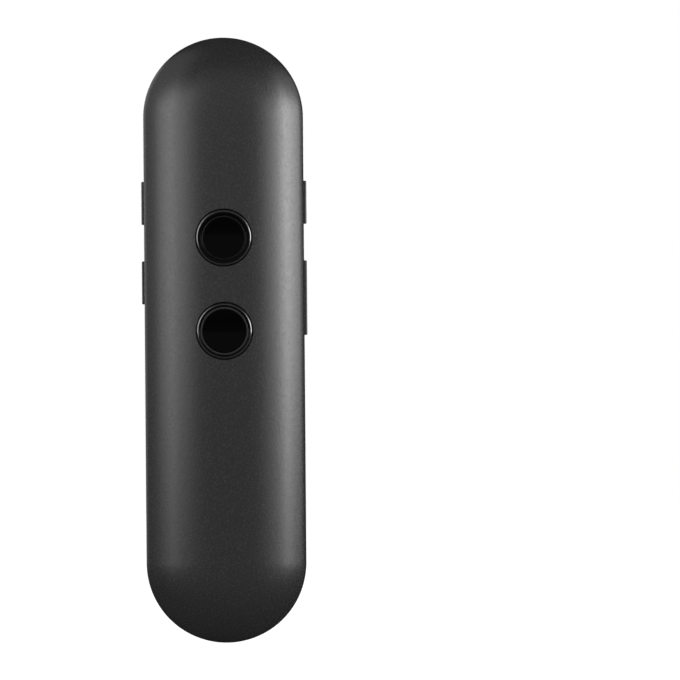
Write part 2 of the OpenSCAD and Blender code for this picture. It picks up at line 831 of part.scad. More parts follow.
module right_upper_stem() { side_stem(upper_key_z); }
module left_upper_stem() { mirror([1, 0, 0]) side_stem(upper_key_z); }
module left_lower_stem() { mirror([1, 0, 0]) side_stem(lower_key_z); }
module rocker_top_stem() { side_stem(rocker_z + rocker_lever); }
module rocker_bottom_stem() { side_stem(rocker_z - rocker_lever); }

// ---- Boards and what they carry ----

module main_board() {
    color([0.05, 0.25, 0.12])
        difference() {
            span([-board_w / 2, board_y, board_bottom_z], [board_w / 2, board_back_y, board_top_z]);
            for (p = main_screws)
                along_y(p[0], p[1], screw_r + screw_hole_gap, board_y - cut, board_back_y + cut);
        }
}

module charge_board() {
    color([0.05, 0.25, 0.12])
        difference() {
            intersection() {
                along_y(0, -end_z, charge_board_r, board_y, board_back_y);
                span([-half_w, board_y - cut, charge_board_z],
                    [half_w, board_back_y + cut, charge_board_top_z]);
            }
            for (p = charge_screws)
                along_y(p[0], p[1], screw_r + screw_hole_gap, board_y - cut, board_back_y + cut);
        }
}

module board_screws() {
    color([0.6, 0.6, 0.62])
        for (p = concat(main_screws, charge_screws))
            difference() {
                union() {
                    along_y(p[0], p[1], screw_head_r, board_back_y, board_back_y + screw_head_h);
                    along_y(p[0], p[1], screw_r, floor_y + screw_tip, board_back_y);
                }
                // Cross recess
                for (turn = [0, 90])
                    translate([p[0], board_back_y + screw_head_h, p[1]])
                        rotate([0, turn, 0])
                            cube(screw_cross, center = true);
            }
}

module processor() { color([0.06, 0.06, 0.06]) package(processor_size); }
module memory_chip() { color([0.06, 0.06, 0.06]) package(memory_size); }
module audio_chip() { color([0.06, 0.06, 0.06]) package(audio_size); }
module power_chip() { color([0.06, 0.06, 0.06]) package(power_size); }
module crystal() { color([0.75, 0.75, 0.76]) package(crystal_size); }
module chip_antenna() { color([0.85, 0.83, 0.78]) package(antenna_size); }
module radio_module() { color([0.7, 0.7, 0.72]) package(radio_size); }
module charge_chip() { color([0.06, 0.06, 0.06]) package(charge_chip_size); }

module shield_can() {
    s = shield_size;
    color([0.7, 0.7, 0.72])
        difference() {
            package(s);
            translate([s[0] - s[2] / 2 + shield_sheet, board_back_y - cut, s[1] - s[3] / 2 + shield_sheet])
                cube([s[2] - 2 * shield_sheet, s[4] - shield_sheet + cut, s[3] - 2 * shield_sheet]);
        }
}

// Two small lamps under each light ring
module button_leds() {
    color([0.9, 0.88, 0.8])
        for (z = [upper_button_z, lower_button_z], s = [-1, 1])
            translate([s * led_x, board_y - led_size[1] / 2, z])
                cube(led_size, center = true);
}

// ---- Battery ----

module battery_cell() {
    color([0.7, 0.71, 0.73])
        translate([0, cell_y + cell_t / 2, cell_bottom_z])
            linear_extrude(cell_l)
                rounded_square(cell_w, cell_t, cell_round);
}

// The guard board lies across the cell's top end
module battery_guard_board() {
    color([0.05, 0.25, 0.12])
        span([-cell_w / 2 + guard_board_inset, cell_y + (cell_t - guard_board_h) / 2, cell_top_z],
            [cell_w / 2 - guard_board_inset, cell_y + (cell_t + guard_board_h) / 2,
                cell_top_z + guard_board_t]);
}

module battery_tape() {
    color([0.9, 0.9, 0.88])
        for (x = [-tape_x, tape_x])
            span([x - tape_w / 2, cell_y - tape_t, cell_bottom_z + tape_inset],
                [x + tape_w / 2, cell_y, cell_top_z - tape_inset]);
}

module battery_socket() {
    s = socket_size;
    color([0.9, 0.88, 0.8])
        difference() {
            package(s);
            span([s[0] - s[2] / 2 + socket_wall[0], board_back_y + socket_wall[1], s[1] - s[3] / 2 - cut],
                [s[0] + s[2] / 2 - socket_wall[0], board_back_y + s[4] - socket_roof,
                    s[1] + s[3] / 2 - socket_wall[2]]);
        }
}

// The plug fills the socket, and its leads enter from the battery's side
module battery_plug() {
    s = socket_size;
    low = socket_wall + [plug_gap, plug_gap, plug_gap];
    color([0.93, 0.92, 0.88])
        span([s[0] - s[2] / 2 + low[0], board_back_y + low[1], s[1] - s[3] / 2],
            [s[0] + s[2] / 2 - low[0], board_back_y + s[4] - socket_roof - plug_gap,
                s[1] + s[3] / 2 - low[2]]);
}

module battery_leads() {
    low = cell_top_z + guard_board_t;
    plug_z = socket_size[1] - socket_size[3] / 2;
    color([0.6, 0.08, 0.06])
        for (x = [-lead_x, lead_x])
            translate([x, cell_y + cell_t / 2, low])
                cylinder(r = lead_d / 2, h = plug_z - low);
}

module flex_cable() {
    color([0.7, 0.42, 0.12])
        span([-flex_w / 2, board_y - flex_t, charge_board_top_z - flex_laps[0]],
            [flex_w / 2, board_y, board_bottom_z + flex_laps[1]]);
}

// ---- Charging socket ----

// The socket's outline: a rectangle with its two front corners cut off, as a micro USB socket has
module usb_outline(inset) {
    w = usb_w / 2 - inset;
    h = usb_h / 2 - inset;
    s = usb_slope;
    polygon([[-w, h], [-w, -h + s], [-w + s, -h], [w - s, -h], [w, -h + s], [w, h]]);
}

module usb_socket() {
    color([0.75, 0.75, 0.76])
        difference() {
            translate([0, usb_y, usb_z])
                linear_extrude(usb_l)
                    usb_outline(0);
            translate([0, usb_y, usb_z - cut])
                linear_extrude(usb_l - usb_back_t + cut)
                    usb_outline(usb_sheet);
        }
}

module usb_tongue() {
    color([0.06, 0.06, 0.06]) {
        translate([0, usb_y, usb_z + usb_l - usb_back_t - tongue_base])
            linear_extrude(tongue_base)
                usb_outline(usb_sheet);
        span([-usb_w / 2 + tongue_inset, usb_y + 0.1, usb_z + tongue_sink],
            [usb_w / 2 - tongue_inset, usb_y + 0.1 + tongue_t, usb_z + usb_l - usb_back_t - tongue_base / 2]);
    }
}

// ---- Speaker ----

module speaker_frame() {
    color([0.15, 0.15, 0.16])
        turned(0, end_z) {
            wall_r = gasket_r - gasket_w - frame_wall;
            translate([wall_r, frame_y - frame_sheet])
                square([speaker_r - wall_r, frame_sheet]);
            translate([wall_r, frame_back_y])
                square([frame_wall, speaker_h]);
            translate([magnet_d / 2 + screw_gap, frame_back_y])
                square([wall_r + frame_wall - magnet_d / 2 - screw_gap, frame_sheet]);
        }
}

module speaker_magnet() {
    color([0.65, 0.65, 0.67])
        turned(0, end_z)
            difference() {
                translate([0, magnet_y])
                    square([magnet_d / 2, magnet_h]);
                translate([magnet_d / 2 - pot_wall - pot_slot, magnet_y + pot_base])
                    square([pot_slot, magnet_h]);
            }
}

module voice_coil() {
    color([0.7, 0.35, 0.15])
        ring_y(0, end_z, coil_r + coil_t / 2, coil_r - coil_t / 2, magnet_y + pot_base + coil_floor,
            frame_y - coil_sink);
}

// A shallow cone with a domed dust cap, on a half-roll surround
module speaker_cone() {
    edge_r = gasket_r - gasket_w - frame_wall;
    roll = 1.3;
    cap = [coil_r - 0.6, frame_y - coil_sink + 0.15];
    color([0.12, 0.12, 0.12])
        turned(0, end_z)
            polygon([[0, cap[1] + 0.3], cap, [coil_r, frame_y - coil_sink], [edge_r - roll, frame_y - cone_t],
                [edge_r, frame_y - cone_t], [edge_r, frame_y], [edge_r - roll, frame_y],
                [coil_r, frame_y - coil_sink + cone_t], cap + [0, cone_t], [0, cap[1] + 0.3 + cone_t]]);
}

module speaker_gasket() {
    color([0.1, 0.1, 0.1])
        ring_y(0, end_z, gasket_r, gasket_r - gasket_w, frame_y, gasket_y);
}

module dust_mesh() {
    color([0.3, 0.3, 0.3])
        along_y(0, end_z, mesh_r, pocket_y - mesh_t, pocket_y);
}

// Two leads run from the frame's edge down to the main board
module speaker_leads() {
    r = speaker_lead_r;
    y = frame_back_y + r;
    low = board_top_z - speaker_lead_lap;
    color([0.6, 0.08, 0.06])
        for (x = speaker_lead_x) {
            translate([-x, y, low])
                cylinder(r = r, h = end_z - sqrt(pow(gasket_r - gasket_w, 2) - pow(x - r, 2)) - low);
            along_y(-x, low, r, board_back_y, y);
            translate([-x, y, low])
                sphere(r);
        }
}

// ---- Microphones ----

module mic(x) {
    color([0.75, 0.7, 0.5])
        difference() {
            package([x, mic_z, mic_size[0], mic_size[2], mic_size[1]]);
            along_y(x, mic_z, mic_port_r, board_back_y + mic_size[1] / 2, mic_y + cut);
        }
}

module left_mic() { mic(-mic_x); }
module right_mic() { mic(mic_x); }

// A rubber tube from the microphone to its hole in the back cover
module mic_boot(x) {
    color([0.08, 0.08, 0.08])
        ring_y(x, mic_z, boot_r, mic_hole_d / 2 + 0.1, mic_y, boot_y);
}

module left_mic_boot() { mic_boot(-mic_x); }
module right_mic_boot() { mic_boot(mic_x); }

front_shell();
back_cover();
upper_button_bezel();
lower_button_bezel();
upper_button_cap();
lower_button_cap();
upper_light_ring();
lower_light_ring();
upper_button_switch();
lower_button_switch();
upper_button_stem();
lower_button_stem();
left_upper_key();
right_upper_key();
left_lower_key();
right_rocker_key();
rocker_pin();
left_upper_switch();
right_upper_switch();
left_lower_switch();
rocker_top_switch();
rocker_bottom_switch();
left_upper_stem();
right_upper_stem();
left_lower_stem();
rocker_top_stem();
rocker_bottom_stem();
main_board();
board_screws();
processor();
shield_can();
memory_chip();
radio_module();
audio_chip();
power_chip();
crystal();
chip_antenna();
button_leds();
battery_cell();
battery_guard_board();
battery_tape();
battery_leads();
battery_plug();
battery_socket();
flex_cable();
charge_board();
charge_chip();
usb_socket();
usb_tongue();
speaker_frame();
speaker_magnet();
voice_coil();
speaker_cone();
speaker_gasket();
dust_mesh();
speaker_leads();
left_mic();
right_mic();
left_mic_boot();
right_mic_boot();
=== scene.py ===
# Handheld voice translator: the finishes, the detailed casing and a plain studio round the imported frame
import json
import math
import bmesh
import bpy
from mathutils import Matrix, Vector


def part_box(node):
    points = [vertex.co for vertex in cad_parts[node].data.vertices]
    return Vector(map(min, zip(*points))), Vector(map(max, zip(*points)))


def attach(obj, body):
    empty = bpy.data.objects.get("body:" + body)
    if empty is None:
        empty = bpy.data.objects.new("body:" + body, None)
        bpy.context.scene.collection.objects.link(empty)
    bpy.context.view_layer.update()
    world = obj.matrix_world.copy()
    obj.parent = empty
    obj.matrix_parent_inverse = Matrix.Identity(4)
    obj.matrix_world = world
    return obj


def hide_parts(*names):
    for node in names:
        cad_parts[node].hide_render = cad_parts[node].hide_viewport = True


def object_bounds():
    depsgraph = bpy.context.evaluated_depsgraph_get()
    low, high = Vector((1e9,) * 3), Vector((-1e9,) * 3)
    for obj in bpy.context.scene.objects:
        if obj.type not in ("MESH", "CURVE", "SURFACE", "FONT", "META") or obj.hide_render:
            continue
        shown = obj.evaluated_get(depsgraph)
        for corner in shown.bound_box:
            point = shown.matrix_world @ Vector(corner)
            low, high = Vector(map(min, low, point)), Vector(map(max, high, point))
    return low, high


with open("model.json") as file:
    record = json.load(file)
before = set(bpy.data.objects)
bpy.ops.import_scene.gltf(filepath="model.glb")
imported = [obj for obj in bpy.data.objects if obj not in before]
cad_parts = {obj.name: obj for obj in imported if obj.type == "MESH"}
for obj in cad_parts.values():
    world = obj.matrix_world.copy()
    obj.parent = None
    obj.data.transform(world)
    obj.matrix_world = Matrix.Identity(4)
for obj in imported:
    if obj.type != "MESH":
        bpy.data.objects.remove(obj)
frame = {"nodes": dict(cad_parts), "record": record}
cadLow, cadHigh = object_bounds()
nodes = frame["nodes"]
mm = 0.001
mergeGap = 0.002 * mm      # points closer than this become one
tiny = 0.001 * mm
overcut = 1                # millimetres that a cutter reaches past what it cuts

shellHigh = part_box("front_shell")[1]
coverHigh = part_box("back_cover")[1]
halfWidth = shellHigh.x / mm
endZ = (shellHigh.z - shellHigh.x) / mm      # centres of the two round ends
halfDepth = coverHigh.y / mm
rimY = shellHigh.y / mm


# Working in edit mode

smoothAngle = 30


def selectOnly(*pieces):
    # Leaves edit mode, and selects these pieces and nothing else
    if bpy.context.object and bpy.context.object.mode != "OBJECT":
        bpy.ops.object.mode_set(mode="OBJECT")
    bpy.ops.object.select_all(action="DESELECT")
    for piece in pieces:
        piece.select_set(True)
    if pieces:
        bpy.context.view_layer.objects.active = pieces[0]


def editPiece(piece, kind="VERT"):
    # Opens a piece in edit mode with nothing selected
    selectOnly(piece)
    bpy.ops.object.mode_set(mode="EDIT")
    bpy.ops.mesh.select_mode(type=kind)
    bpy.ops.mesh.select_all(action="DESELECT")


def pick(kind, test):
    # Selects the vertices, edges or faces of the edited mesh that pass the test, and nothing else
    bpy.ops.mesh.select_mode(type=kind)
    bpy.ops.mesh.select_all(action="DESELECT")
    mesh = bmesh.from_edit_mesh(bpy.context.object.data)
    for item in {"VERT": mesh.verts, "EDGE": mesh.edges, "FACE": mesh.faces}[kind]:
        if test(item):
            item.select_set(True)
    mesh.select_flush_mode()
    bmesh.update_edit_mesh(bpy.context.object.data)


def endEdit():
    # Merges doubles, turns the faces outwards and leaves edit mode
    bpy.ops.mesh.select_all(action="SELECT")
    bpy.ops.mesh.remove_doubles(threshold=mergeGap)
    bpy.ops.mesh.normals_make_consistent(inside=False)
    bpy.ops.object.mode_set(mode="OBJECT")


def applyModifier(piece, kind, **settings):
    selectOnly(piece)
    modifier = piece.modifiers.new(kind.title(), kind)
    for key, value in settings.items():
        setattr(modifier, key, value)
    bpy.ops.object.modifier_apply(modifier=modifier.name)


def combine(piece, tool, operation="DIFFERENCE"):
    # Cuts a tool out of a piece, or joins it on, and removes the tool
    applyModifier(piece, "BOOLEAN", object=tool, operation=operation, solver="EXACT")
    bpy.data.objects.remove(tool)


def joinPieces(pieces):
    selectOnly(*pieces)
    bpy.ops.object.join()
    return bpy.context.object


def finishPiece(piece, name, body, slot, *replaced, finish=None):
    # Smooths a piece, gives it its name, body and finish (its own, or its slot's), and hides the nodes that
    # it replaces
    selectOnly(piece)
    bpy.ops.object.transform_apply(location=True, rotation=True, scale=True)
    bpy.ops.object.shade_smooth_by_angle(angle=math.radians(smoothAngle))
    applyModifier(piece, "WEIGHTED_NORMAL", mode="FACE_AREA", weight=50, keep_sharp=True)
    piece.name = name
    piece.data.name = name
    piece.data.materials.clear()
    piece.data.materials.append(finish or finishOfSlot[slot])
    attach(piece, body)
    if replaced:
        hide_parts(*replaced)


# Shapes that several pieces share

endSteps = 48      # in a quarter turn round an end
rodSides = 48


def arc(centre, radius, start, end, steps):
    # Points on an arc, with its angles in degrees
    turns = [math.radians(start + (end - start) * i / steps) for i in range(steps + 1)]
    return [(centre[0] + radius * math.cos(t), centre[1] + radius * math.sin(t)) for t in turns]


def drawChain(points, origin=(0, 0, 0)):
    # Draws points [x, y] in millimetres as a chain of edges, from a plane merged to one vertex
    selectOnly()
    bpy.ops.mesh.primitive_plane_add(size=mm)
    bpy.ops.object.mode_set(mode="EDIT")
    bpy.ops.mesh.select_mode(type="VERT")
    bpy.ops.mesh.select_all(action="SELECT")
    bpy.ops.mesh.merge(type="CENTER")
    start = Vector(origin) + Vector((points[0][0], points[0][1], 0))
    bpy.ops.transform.translate(value=start * mm)
    for before, after in zip(points, points[1:]):
        step = Vector((after[0] - before[0], after[1] - before[1], 0)) * mm
        bpy.ops.mesh.extrude_region_move(TRANSFORM_OT_translate={"value": step})
    return bpy.context.object


def turnedPiece(points, x, z, steps=96):
    # Turns a section of [radius, y] round the Y axis through x, z
    piece = drawChain(points, (x, 0, z))
    bpy.ops.mesh.select_all(action="SELECT")
    bpy.ops.mesh.spin(steps=steps, angle=2 * math.pi, center=(x * mm, 0, z * mm), axis=(0, -1, 0))
    endEdit()
    return piece


def sweptBody(points):
    # Sweeps a half section round the stadium outline: a quarter turn, a straight run and two mirrors
    piece = drawChain(points, (0, 0, endZ))
    bpy.ops.mesh.select_all(action="SELECT")
    bpy.ops.mesh.spin(steps=endSteps, angle=math.pi / 2, center=(0, 0, endZ * mm), axis=(0, 1, 0))
    bpy.ops.mesh.select_all(action="SELECT")
    bpy.ops.mesh.remove_doubles(threshold=mergeGap)
    pick("VERT", lambda v: abs(v.co.z - endZ * mm) < tiny and v.co.x > -tiny)
    bpy.ops.mesh.extrude_region_move(TRANSFORM_OT_translate={"value": (0, 0, -endZ * mm)})
    endEdit()
    applyModifier(piece, "MIRROR", use_axis=(True, False, True), merge_threshold=0.005 * mm)
    editPiece(piece)
    endEdit()
    return piece


def prismPiece(points, low, high):
    # A closed outline [x, y] between two heights
    piece = drawChain(points, (0, 0, low))
    bpy.ops.mesh.select_all(action="SELECT")
    bpy.ops.mesh.edge_face_add()
    bpy.ops.mesh.extrude_region_move(TRANSFORM_OT_translate={"value": (0, 0, (high - low) * mm)})
    endEdit()
    return piece


def blockPiece(low, high, rounding=0.0, segments=3):
    # A box between two corners in millimetres, with its edges rounded
    low, high = Vector(low) * mm, Vector(high) * mm
    selectOnly()
    bpy.ops.mesh.primitive_cube_add(size=1, location=(low + high) / 2, scale=high - low)
    bpy.ops.object.transform_apply(location=True, rotation=False, scale=True)
    piece = bpy.context.object
    if rounding:
        editPiece(piece, "EDGE")
        bpy.ops.mesh.select_all(action="SELECT")
        bpy.ops.mesh.bevel(offset=rounding * mm, segments=segments, affect="EDGES")
        endEdit()
    return piece


def rodPiece(start, end, radius):
    # A plain cylinder between two points in millimetres
    start, end = Vector(start) * mm, Vector(end) * mm
    turn = (end - start).to_track_quat("Z", "Y").to_euler()
    selectOnly()
    bpy.ops.mesh.primitive_cylinder_add(vertices=rodSides, radius=radius * mm, depth=(end - start).length,
                                        location=(start + end) / 2, rotation=turn)
    bpy.ops.object.transform_apply(location=True, rotation=True, scale=True)
    return bpy.context.object


# Shader maths

class Link:
    # A shader socket that takes part in sums
    def __init__(self, graph, socket):
        self.graph = graph
        self.socket = socket

    def maths(self, operation, first, second):
        return self.graph.node("ShaderNodeMath", {"operation": operation}, {0: first, 1: second})

    def __add__(self, other):
        return self.maths("ADD", self, other)

    def __sub__(self, other):
        return self.maths("SUBTRACT", self, other)

    def __rsub__(self, other):
        return self.maths("SUBTRACT", other, self)

    def __mul__(self, other):
        return self.maths("MULTIPLY", self, other)

    def __gt__(self, other):
        return self.maths("GREATER_THAN", self, other)

    def __lt__(self, other):
        return self.maths("LESS_THAN", self, other)

    __radd__ = __add__
    __rmul__ = __mul__

    def fold(self, pitch):
        # Rises from 0 to 1 and falls back again once every pitch millimetres
        return self.maths("PINGPONG", self, pitch / 2) * (2 / pitch)


class Graph:
    # A node tree, in which one method makes every node
    def __init__(self, tree):
        self.tree = tree

    def node(self, kind, settings=None, inputs=None, output=0):
        made = self.tree.nodes.new(kind)
        for key, value in (settings or {}).items():
            if key == "stops":
                self.setStops(made.color_ramp, value)
            else:
                setattr(made, key, value)
        for socket, value in (inputs or {}).items():
            if isinstance(value, Link):
                self.tree.links.new(value.socket, made.inputs[socket])
            else:
                made.inputs[socket].default_value = value
        return Link(self, made.outputs[output])

    def setStops(self, ramp, stops):
        while len(ramp.elements) < len(stops):
            ramp.elements.new(0.5)
        for element, (place, tone) in zip(ramp.elements, stops):
            element.position = place
            element.color = tone


class Finish(Graph):
    # One material: constants go straight on its shader's sockets
    def __init__(self, name, **constants):
        self.material = bpy.data.materials.new(name)
        self.material.use_nodes = True
        super().__init__(self.material.node_tree)
        self.shader = self.tree.nodes["Principled BSDF"]
        for socket, value in constants.items():
            self.shader.inputs[socket.replace("_", " ")].default_value = value

    def feed(self, socket, link):
        self.tree.links.new(link.socket, self.shader.inputs[socket])

    def place(self):
        return self.node("ShaderNodeTexCoord", output="Object")

    def across(self, axis, centre=0.0):
        # Millimetres along one axis from a centre: 0 is X, 1 is Y and 2 is Z
        return self.node("ShaderNodeSeparateXYZ", None, {0: self.place()}, axis) * 1000 - centre

    def reach(self, x, z):
        # Millimetres out from a line along Y
        spot = self.node("ShaderNodeMapping", None, {
            "Vector": self.place(), "Location": (-x * mm, 0, -z * mm), "Scale": (1, 0, 1)})
        return self.node("ShaderNodeVectorMath", {"operation": "LENGTH"}, {0: spot}, "Value") * 1000

    def cells(self, scale, feature="F1"):
        # Distance from the nearest of scattered points, with about scale of them to a metre
        return self.node("ShaderNodeTexVoronoi", {"feature": feature},
                         {"Vector": self.place(), "Scale": scale})

    def noise(self, scale, detail=2.0, stretch=(1, 1, 1)):
        # Noise in the object's own place, with about scale cells to a metre
        spot = self.node("ShaderNodeMapping", None, {"Vector": self.place(), "Scale": stretch})
        return self.node("ShaderNodeTexNoise", None, {"Vector": spot, "Scale": scale, "Detail": detail})

    def blend(self, factor, first, second):
        return self.node("ShaderNodeMix", {"data_type": "RGBA"}, {0: factor, 6: first, 7: second}, 2)

    def bump(self, height, strength, distance):
        self.feed("Normal", self.node("ShaderNodeBump", None,
                                      {"Height": height, "Strength": strength, "Distance": distance}))


def grey(value):
    return (value, value, value, 1)


# Finishes

lacquer = {"spread": 0.2, "roughness": 0.25, "gloss": 0.16, "grain": 2500, "grainShare": 0.6,
           "mottle": 1900, "mottleShare": 0.5, "grainDepth": 0.35, "grainHeight": 0.00002}
polish = {"ior": 1.46, "hairlines": 900, "detail": 4, "wear": 0.03}
# The bezel's painted highlight band: where it lies as a share of the opening's radius, its tone, roughness
# and level
bezelGlintBand = {"radius": 7.2, "stops": ((0.902, 0), (0.912, 1), (0.945, 1), (0.957, 0)), "tone": 0.12,
             "roughness": 0.07, "level": 0.12}
# The painted shade of a microphone's sound port: its radius, where it blends out, and its tone
portShadeDisc = {"radius": 0.6, "edge": 0.64, "tone": 0.002}
baseColour = {row["slot"]: row["base_color"] for row in frame["record"]["materials"]}
finishOfSlot = {}


def shade(slot, factor=1.0):
    # A slot's own colour, made lighter or darker
    return tuple(min(part * factor, 1) for part in baseColour[slot]) + (1,)


def makeLacquer(slot):
    # Satin lacquer: an even fine grain in its height, and a slight mottle in tone and gloss
    finish = Finish(slot, IOR=1.5)
    grain = finish.cells(lacquer["grain"])
    mottle = finish.noise(lacquer["mottle"], detail=1)
    speck = grain * lacquer["grainShare"] + mottle * lacquer["mottleShare"]
    darker, lighter = shade(slot, 1 - lacquer["spread"]), shade(slot, 1 + lacquer["spread"])
    finish.feed("Base Color", finish.blend(speck, darker, lighter))
    finish.feed("Roughness", lacquer["roughness"] + (speck - 0.5) * lacquer["gloss"])
    finish.bump(grain, lacquer["grainDepth"], lacquer["grainHeight"])
    finishOfSlot[slot] = finish.material


def makeGloss(slot, roughness):
    # Polished: almost flat, with faint hairlines in its gloss
    finish = Finish(slot, IOR=polish["ior"])
    wear = finish.noise(polish["hairlines"], polish["detail"])
    finish.feed("Base Color", finish.blend(wear, shade(slot, 0.8), shade(slot, 1.2)))
    finish.feed("Roughness", roughness + wear * polish["wear"])
    finishOfSlot[slot] = finish.material


def makeBezel(slot, z):
    # Polished black with a painted highlight: a brighter metallic band where the bezel's edge turns over, so
    # that the lamps' glint there shows brighter
    b = bezelGlintBand
    finish = Finish(slot + "_edge", IOR=polish["ior"], Roughness=b["roughness"],
                    Specular_IOR_Level=b["level"])
    stops = [(place, grey(tone)) for place, tone in b["stops"]]
    # Painted highlight: the band is made metallic and lighter where the glint falls on the rounded edge
    edge = finish.node("ShaderNodeValToRGB", {"stops": stops}, {0: finish.reach(0, z) * (1 / b["radius"])})
    finish.feed("Base Color", finish.blend(edge, shade(slot, 0.6), grey(b["tone"])))
    finish.feed("Metallic", edge)
    return finish.material


def makeDeepGloss(slot, roughness, factor, level):
    # Dark polished plastic that throws back little from straight in front
    finish = Finish(slot + "_deep", IOR=polish["ior"], Specular_IOR_Level=level)
    wear = finish.noise(polish["hairlines"], polish["detail"])
    finish.feed("Base Color", finish.blend(wear, shade(slot, factor * 0.85), shade(slot, factor * 1.15)))
    finish.feed("Roughness", roughness + wear * polish["wear"])
    return finish.material


def makeMicrophone(slot, x, z):
    # A plated can with painted shade in its middle: a dark disc stands in for the shade inside its sound port
    finish = Finish(slot + "_port", IOR=1.5)
    tumbled = finish.noise(2200, detail=2)
    port = finish.node("ShaderNodeMapRange", None, {
        "Value": finish.reach(x, z), "From Min": portShadeDisc["radius"], "From Max": portShadeDisc["edge"]})
    plated = finish.blend(tumbled, shade(slot, 0.85), shade(slot, 1.1))
    finish.feed("Base Color", finish.blend(port, grey(portShadeDisc["tone"]), plated))
    finish.feed("Metallic", port)
    finish.feed("Roughness", 0.6 - port * 0.35 + tumbled * 0.08)
    return finish.material


def makePlastic(slot, roughness, grain=3000, height=0.00001):
    # Moulded plastic with a spark-eroded grain
    finish = Finish(slot, IOR=1.48)
    texture = finish.noise(grain, detail=2)
    finish.feed("Base Color", finish.blend(texture, shade(slot, 0.85), shade(slot, 1.15)))
    finish.feed("Roughness", roughness + (texture - 0.5) * 0.1)
    finish.bump(texture, strength=0.3, distance=height)
    finishOfSlot[slot] = finish.material


def makeMetal(slot, roughness, stretch=(1, 1, 1), scale=1500):
    # Metal with a fine drawn or tumbled texture, and duller patches
    finish = Finish(slot, Metallic=1.0)
    texture = finish.noise(scale, detail=3, stretch=stretch)
    patch = finish.noise(240, detail=2)
    finish.feed("Base Color", finish.blend(texture * 0.7 + patch * 0.3, shade(slot, 0.8), shade(slot, 1.1)))
    finish.feed("Roughness", roughness + (texture - 0.5) * 0.15 + (patch - 0.5) * 0.2)
    finish.bump(texture, strength=0.15, distance=0.00001)
    finishOfSlot[slot] = finish.material


board = {"trackPitch": 0.55, "trackWidth": 0.4, "viaSpacing": 420, "viaRadius": 0.13,
         "gold": (0.75, 0.55, 0.22, 1)}


def makeBoard(slot):
    # Solder resist over copper tracks that change direction from patch to patch, with plated holes
    finish = Finish(slot, IOR=1.52)
    b = board
    patch = finish.noise(150, detail=0) > 0.5
    upright = finish.across(0).fold(b["trackPitch"]) < b["trackWidth"]
    level = finish.across(2).fold(b["trackPitch"]) < b["trackWidth"]
    laid = finish.noise(210, detail=1) > 0.42
    track = (patch * upright + (1 - patch) * level) * laid
    hole = finish.cells(b["viaSpacing"]) < b["viaRadius"]
    cloth = finish.noise(1800, detail=1)
    resist = finish.blend(track, shade(slot, 0.75), shade(slot, 1.7))
    finish.feed("Base Color", finish.blend(hole, resist, b["gold"]))
    finish.feed("Metallic", hole)
    finish.feed("Roughness", 0.3 + cloth * 0.12)
    finish.bump(track * 0.8 + hole + cloth * 0.2, strength=0.4, distance=0.00003)
    finishOfSlot[slot] = finish.material


def makeChip(slot):
    # Moulded package: a fine matte grain, and a lighter frosted patch where a laser passed
    finish = Finish(slot, IOR=1.5)
    grain = finish.noise(6500, detail=2)
    frost = finish.noise(380, detail=1)
    finish.feed("Base Color", finish.blend(grain * 0.6 + frost * 0.4, shade(slot, 0.7), shade(slot, 1.5)))
    finish.feed("Roughness", 0.5 + (grain - 0.5) * 0.2)
    finish.bump(grain, strength=0.35, distance=0.000012)
    finishOfSlot[slot] = finish.material


def makeFoil(slot):
    # Laminated pouch: a drawn sheen with soft creases
    finish = Finish(slot, Metallic=1.0)
    drawn = finish.noise(900, detail=3, stretch=(1, 1, 0.08))
    crease = finish.cells(150, "SMOOTH_F1")
    finish.feed("Base Color", finish.blend(drawn, shade(slot, 0.85), shade(slot, 1.05)))
    finish.feed("Roughness", 0.34 + (drawn - 0.5) * 0.16)
    finish.bump(crease + drawn * 0.08, strength=0.3, distance=0.00025)
    finishOfSlot[slot] = finish.material


def makeTissue(slot, roughness, fibre):
    # Pressed fibres that lie two ways
    finish = Finish(slot, IOR=1.4)
    first = finish.noise(fibre, detail=3, stretch=(1, 1, 0.15))
    second = finish.noise(fibre, detail=3, stretch=(0.15, 1, 1))
    felt = first * 0.5 + second * 0.5
    finish.feed("Base Color", finish.blend(felt, shade(slot, 0.7), shade(slot, 1.3)))
    finish.feed("Roughness", roughness + (felt - 0.5) * 0.1)
    finish.bump(felt, strength=0.6, distance=0.00004)
    finishOfSlot[slot] = finish.material


def makeFoam(slot, scale):
    # Closed cells
    finish = Finish(slot, IOR=1.4)
    cell = finish.cells(scale)
    finish.feed("Base Color", finish.blend(cell, shade(slot, 1.4), shade(slot, 0.5)))
    finish.feed("Roughness", 0.85 + cell * 0.1)
    finish.bump(cell, strength=0.6, distance=0.00008)
    finishOfSlot[slot] = finish.material


weave = {"pitch": 0.3, "gap": 0.3}


def makeWeave(slot):
    # Plain weave: round threads pass over and under each other, with painted shade in the gaps between them
    finish = Finish(slot, IOR=1.45)
    w = weave
    warp, weft = finish.across(0).fold(w["pitch"]), finish.across(2).fold(w["pitch"])
    over = finish.across(0, w["pitch"] / 2).fold(2 * w["pitch"]) > 0.5
    under = finish.across(2, w["pitch"] / 2).fold(2 * w["pitch"]) > 0.5
    lifted = over * under + (1 - over) * (1 - under)
    thread = lifted * warp + (1 - lifted) * weft
    hole = (warp < w["gap"]) * (weft < w["gap"])
    fuzz = finish.noise(9000, detail=2)
    # Painted shade: the gaps between the threads are coloured near black, for the dark seen through them
    finish.feed("Base Color", finish.blend(hole, shade(slot, 1.2), shade(slot, 0.15)))
    finish.feed("Roughness", 0.6 + fuzz * 0.2)
    finish.bump(thread * 0.8 + fuzz * 0.2, strength=0.7, distance=0.00006)
    finishOfSlot[slot] = finish.material


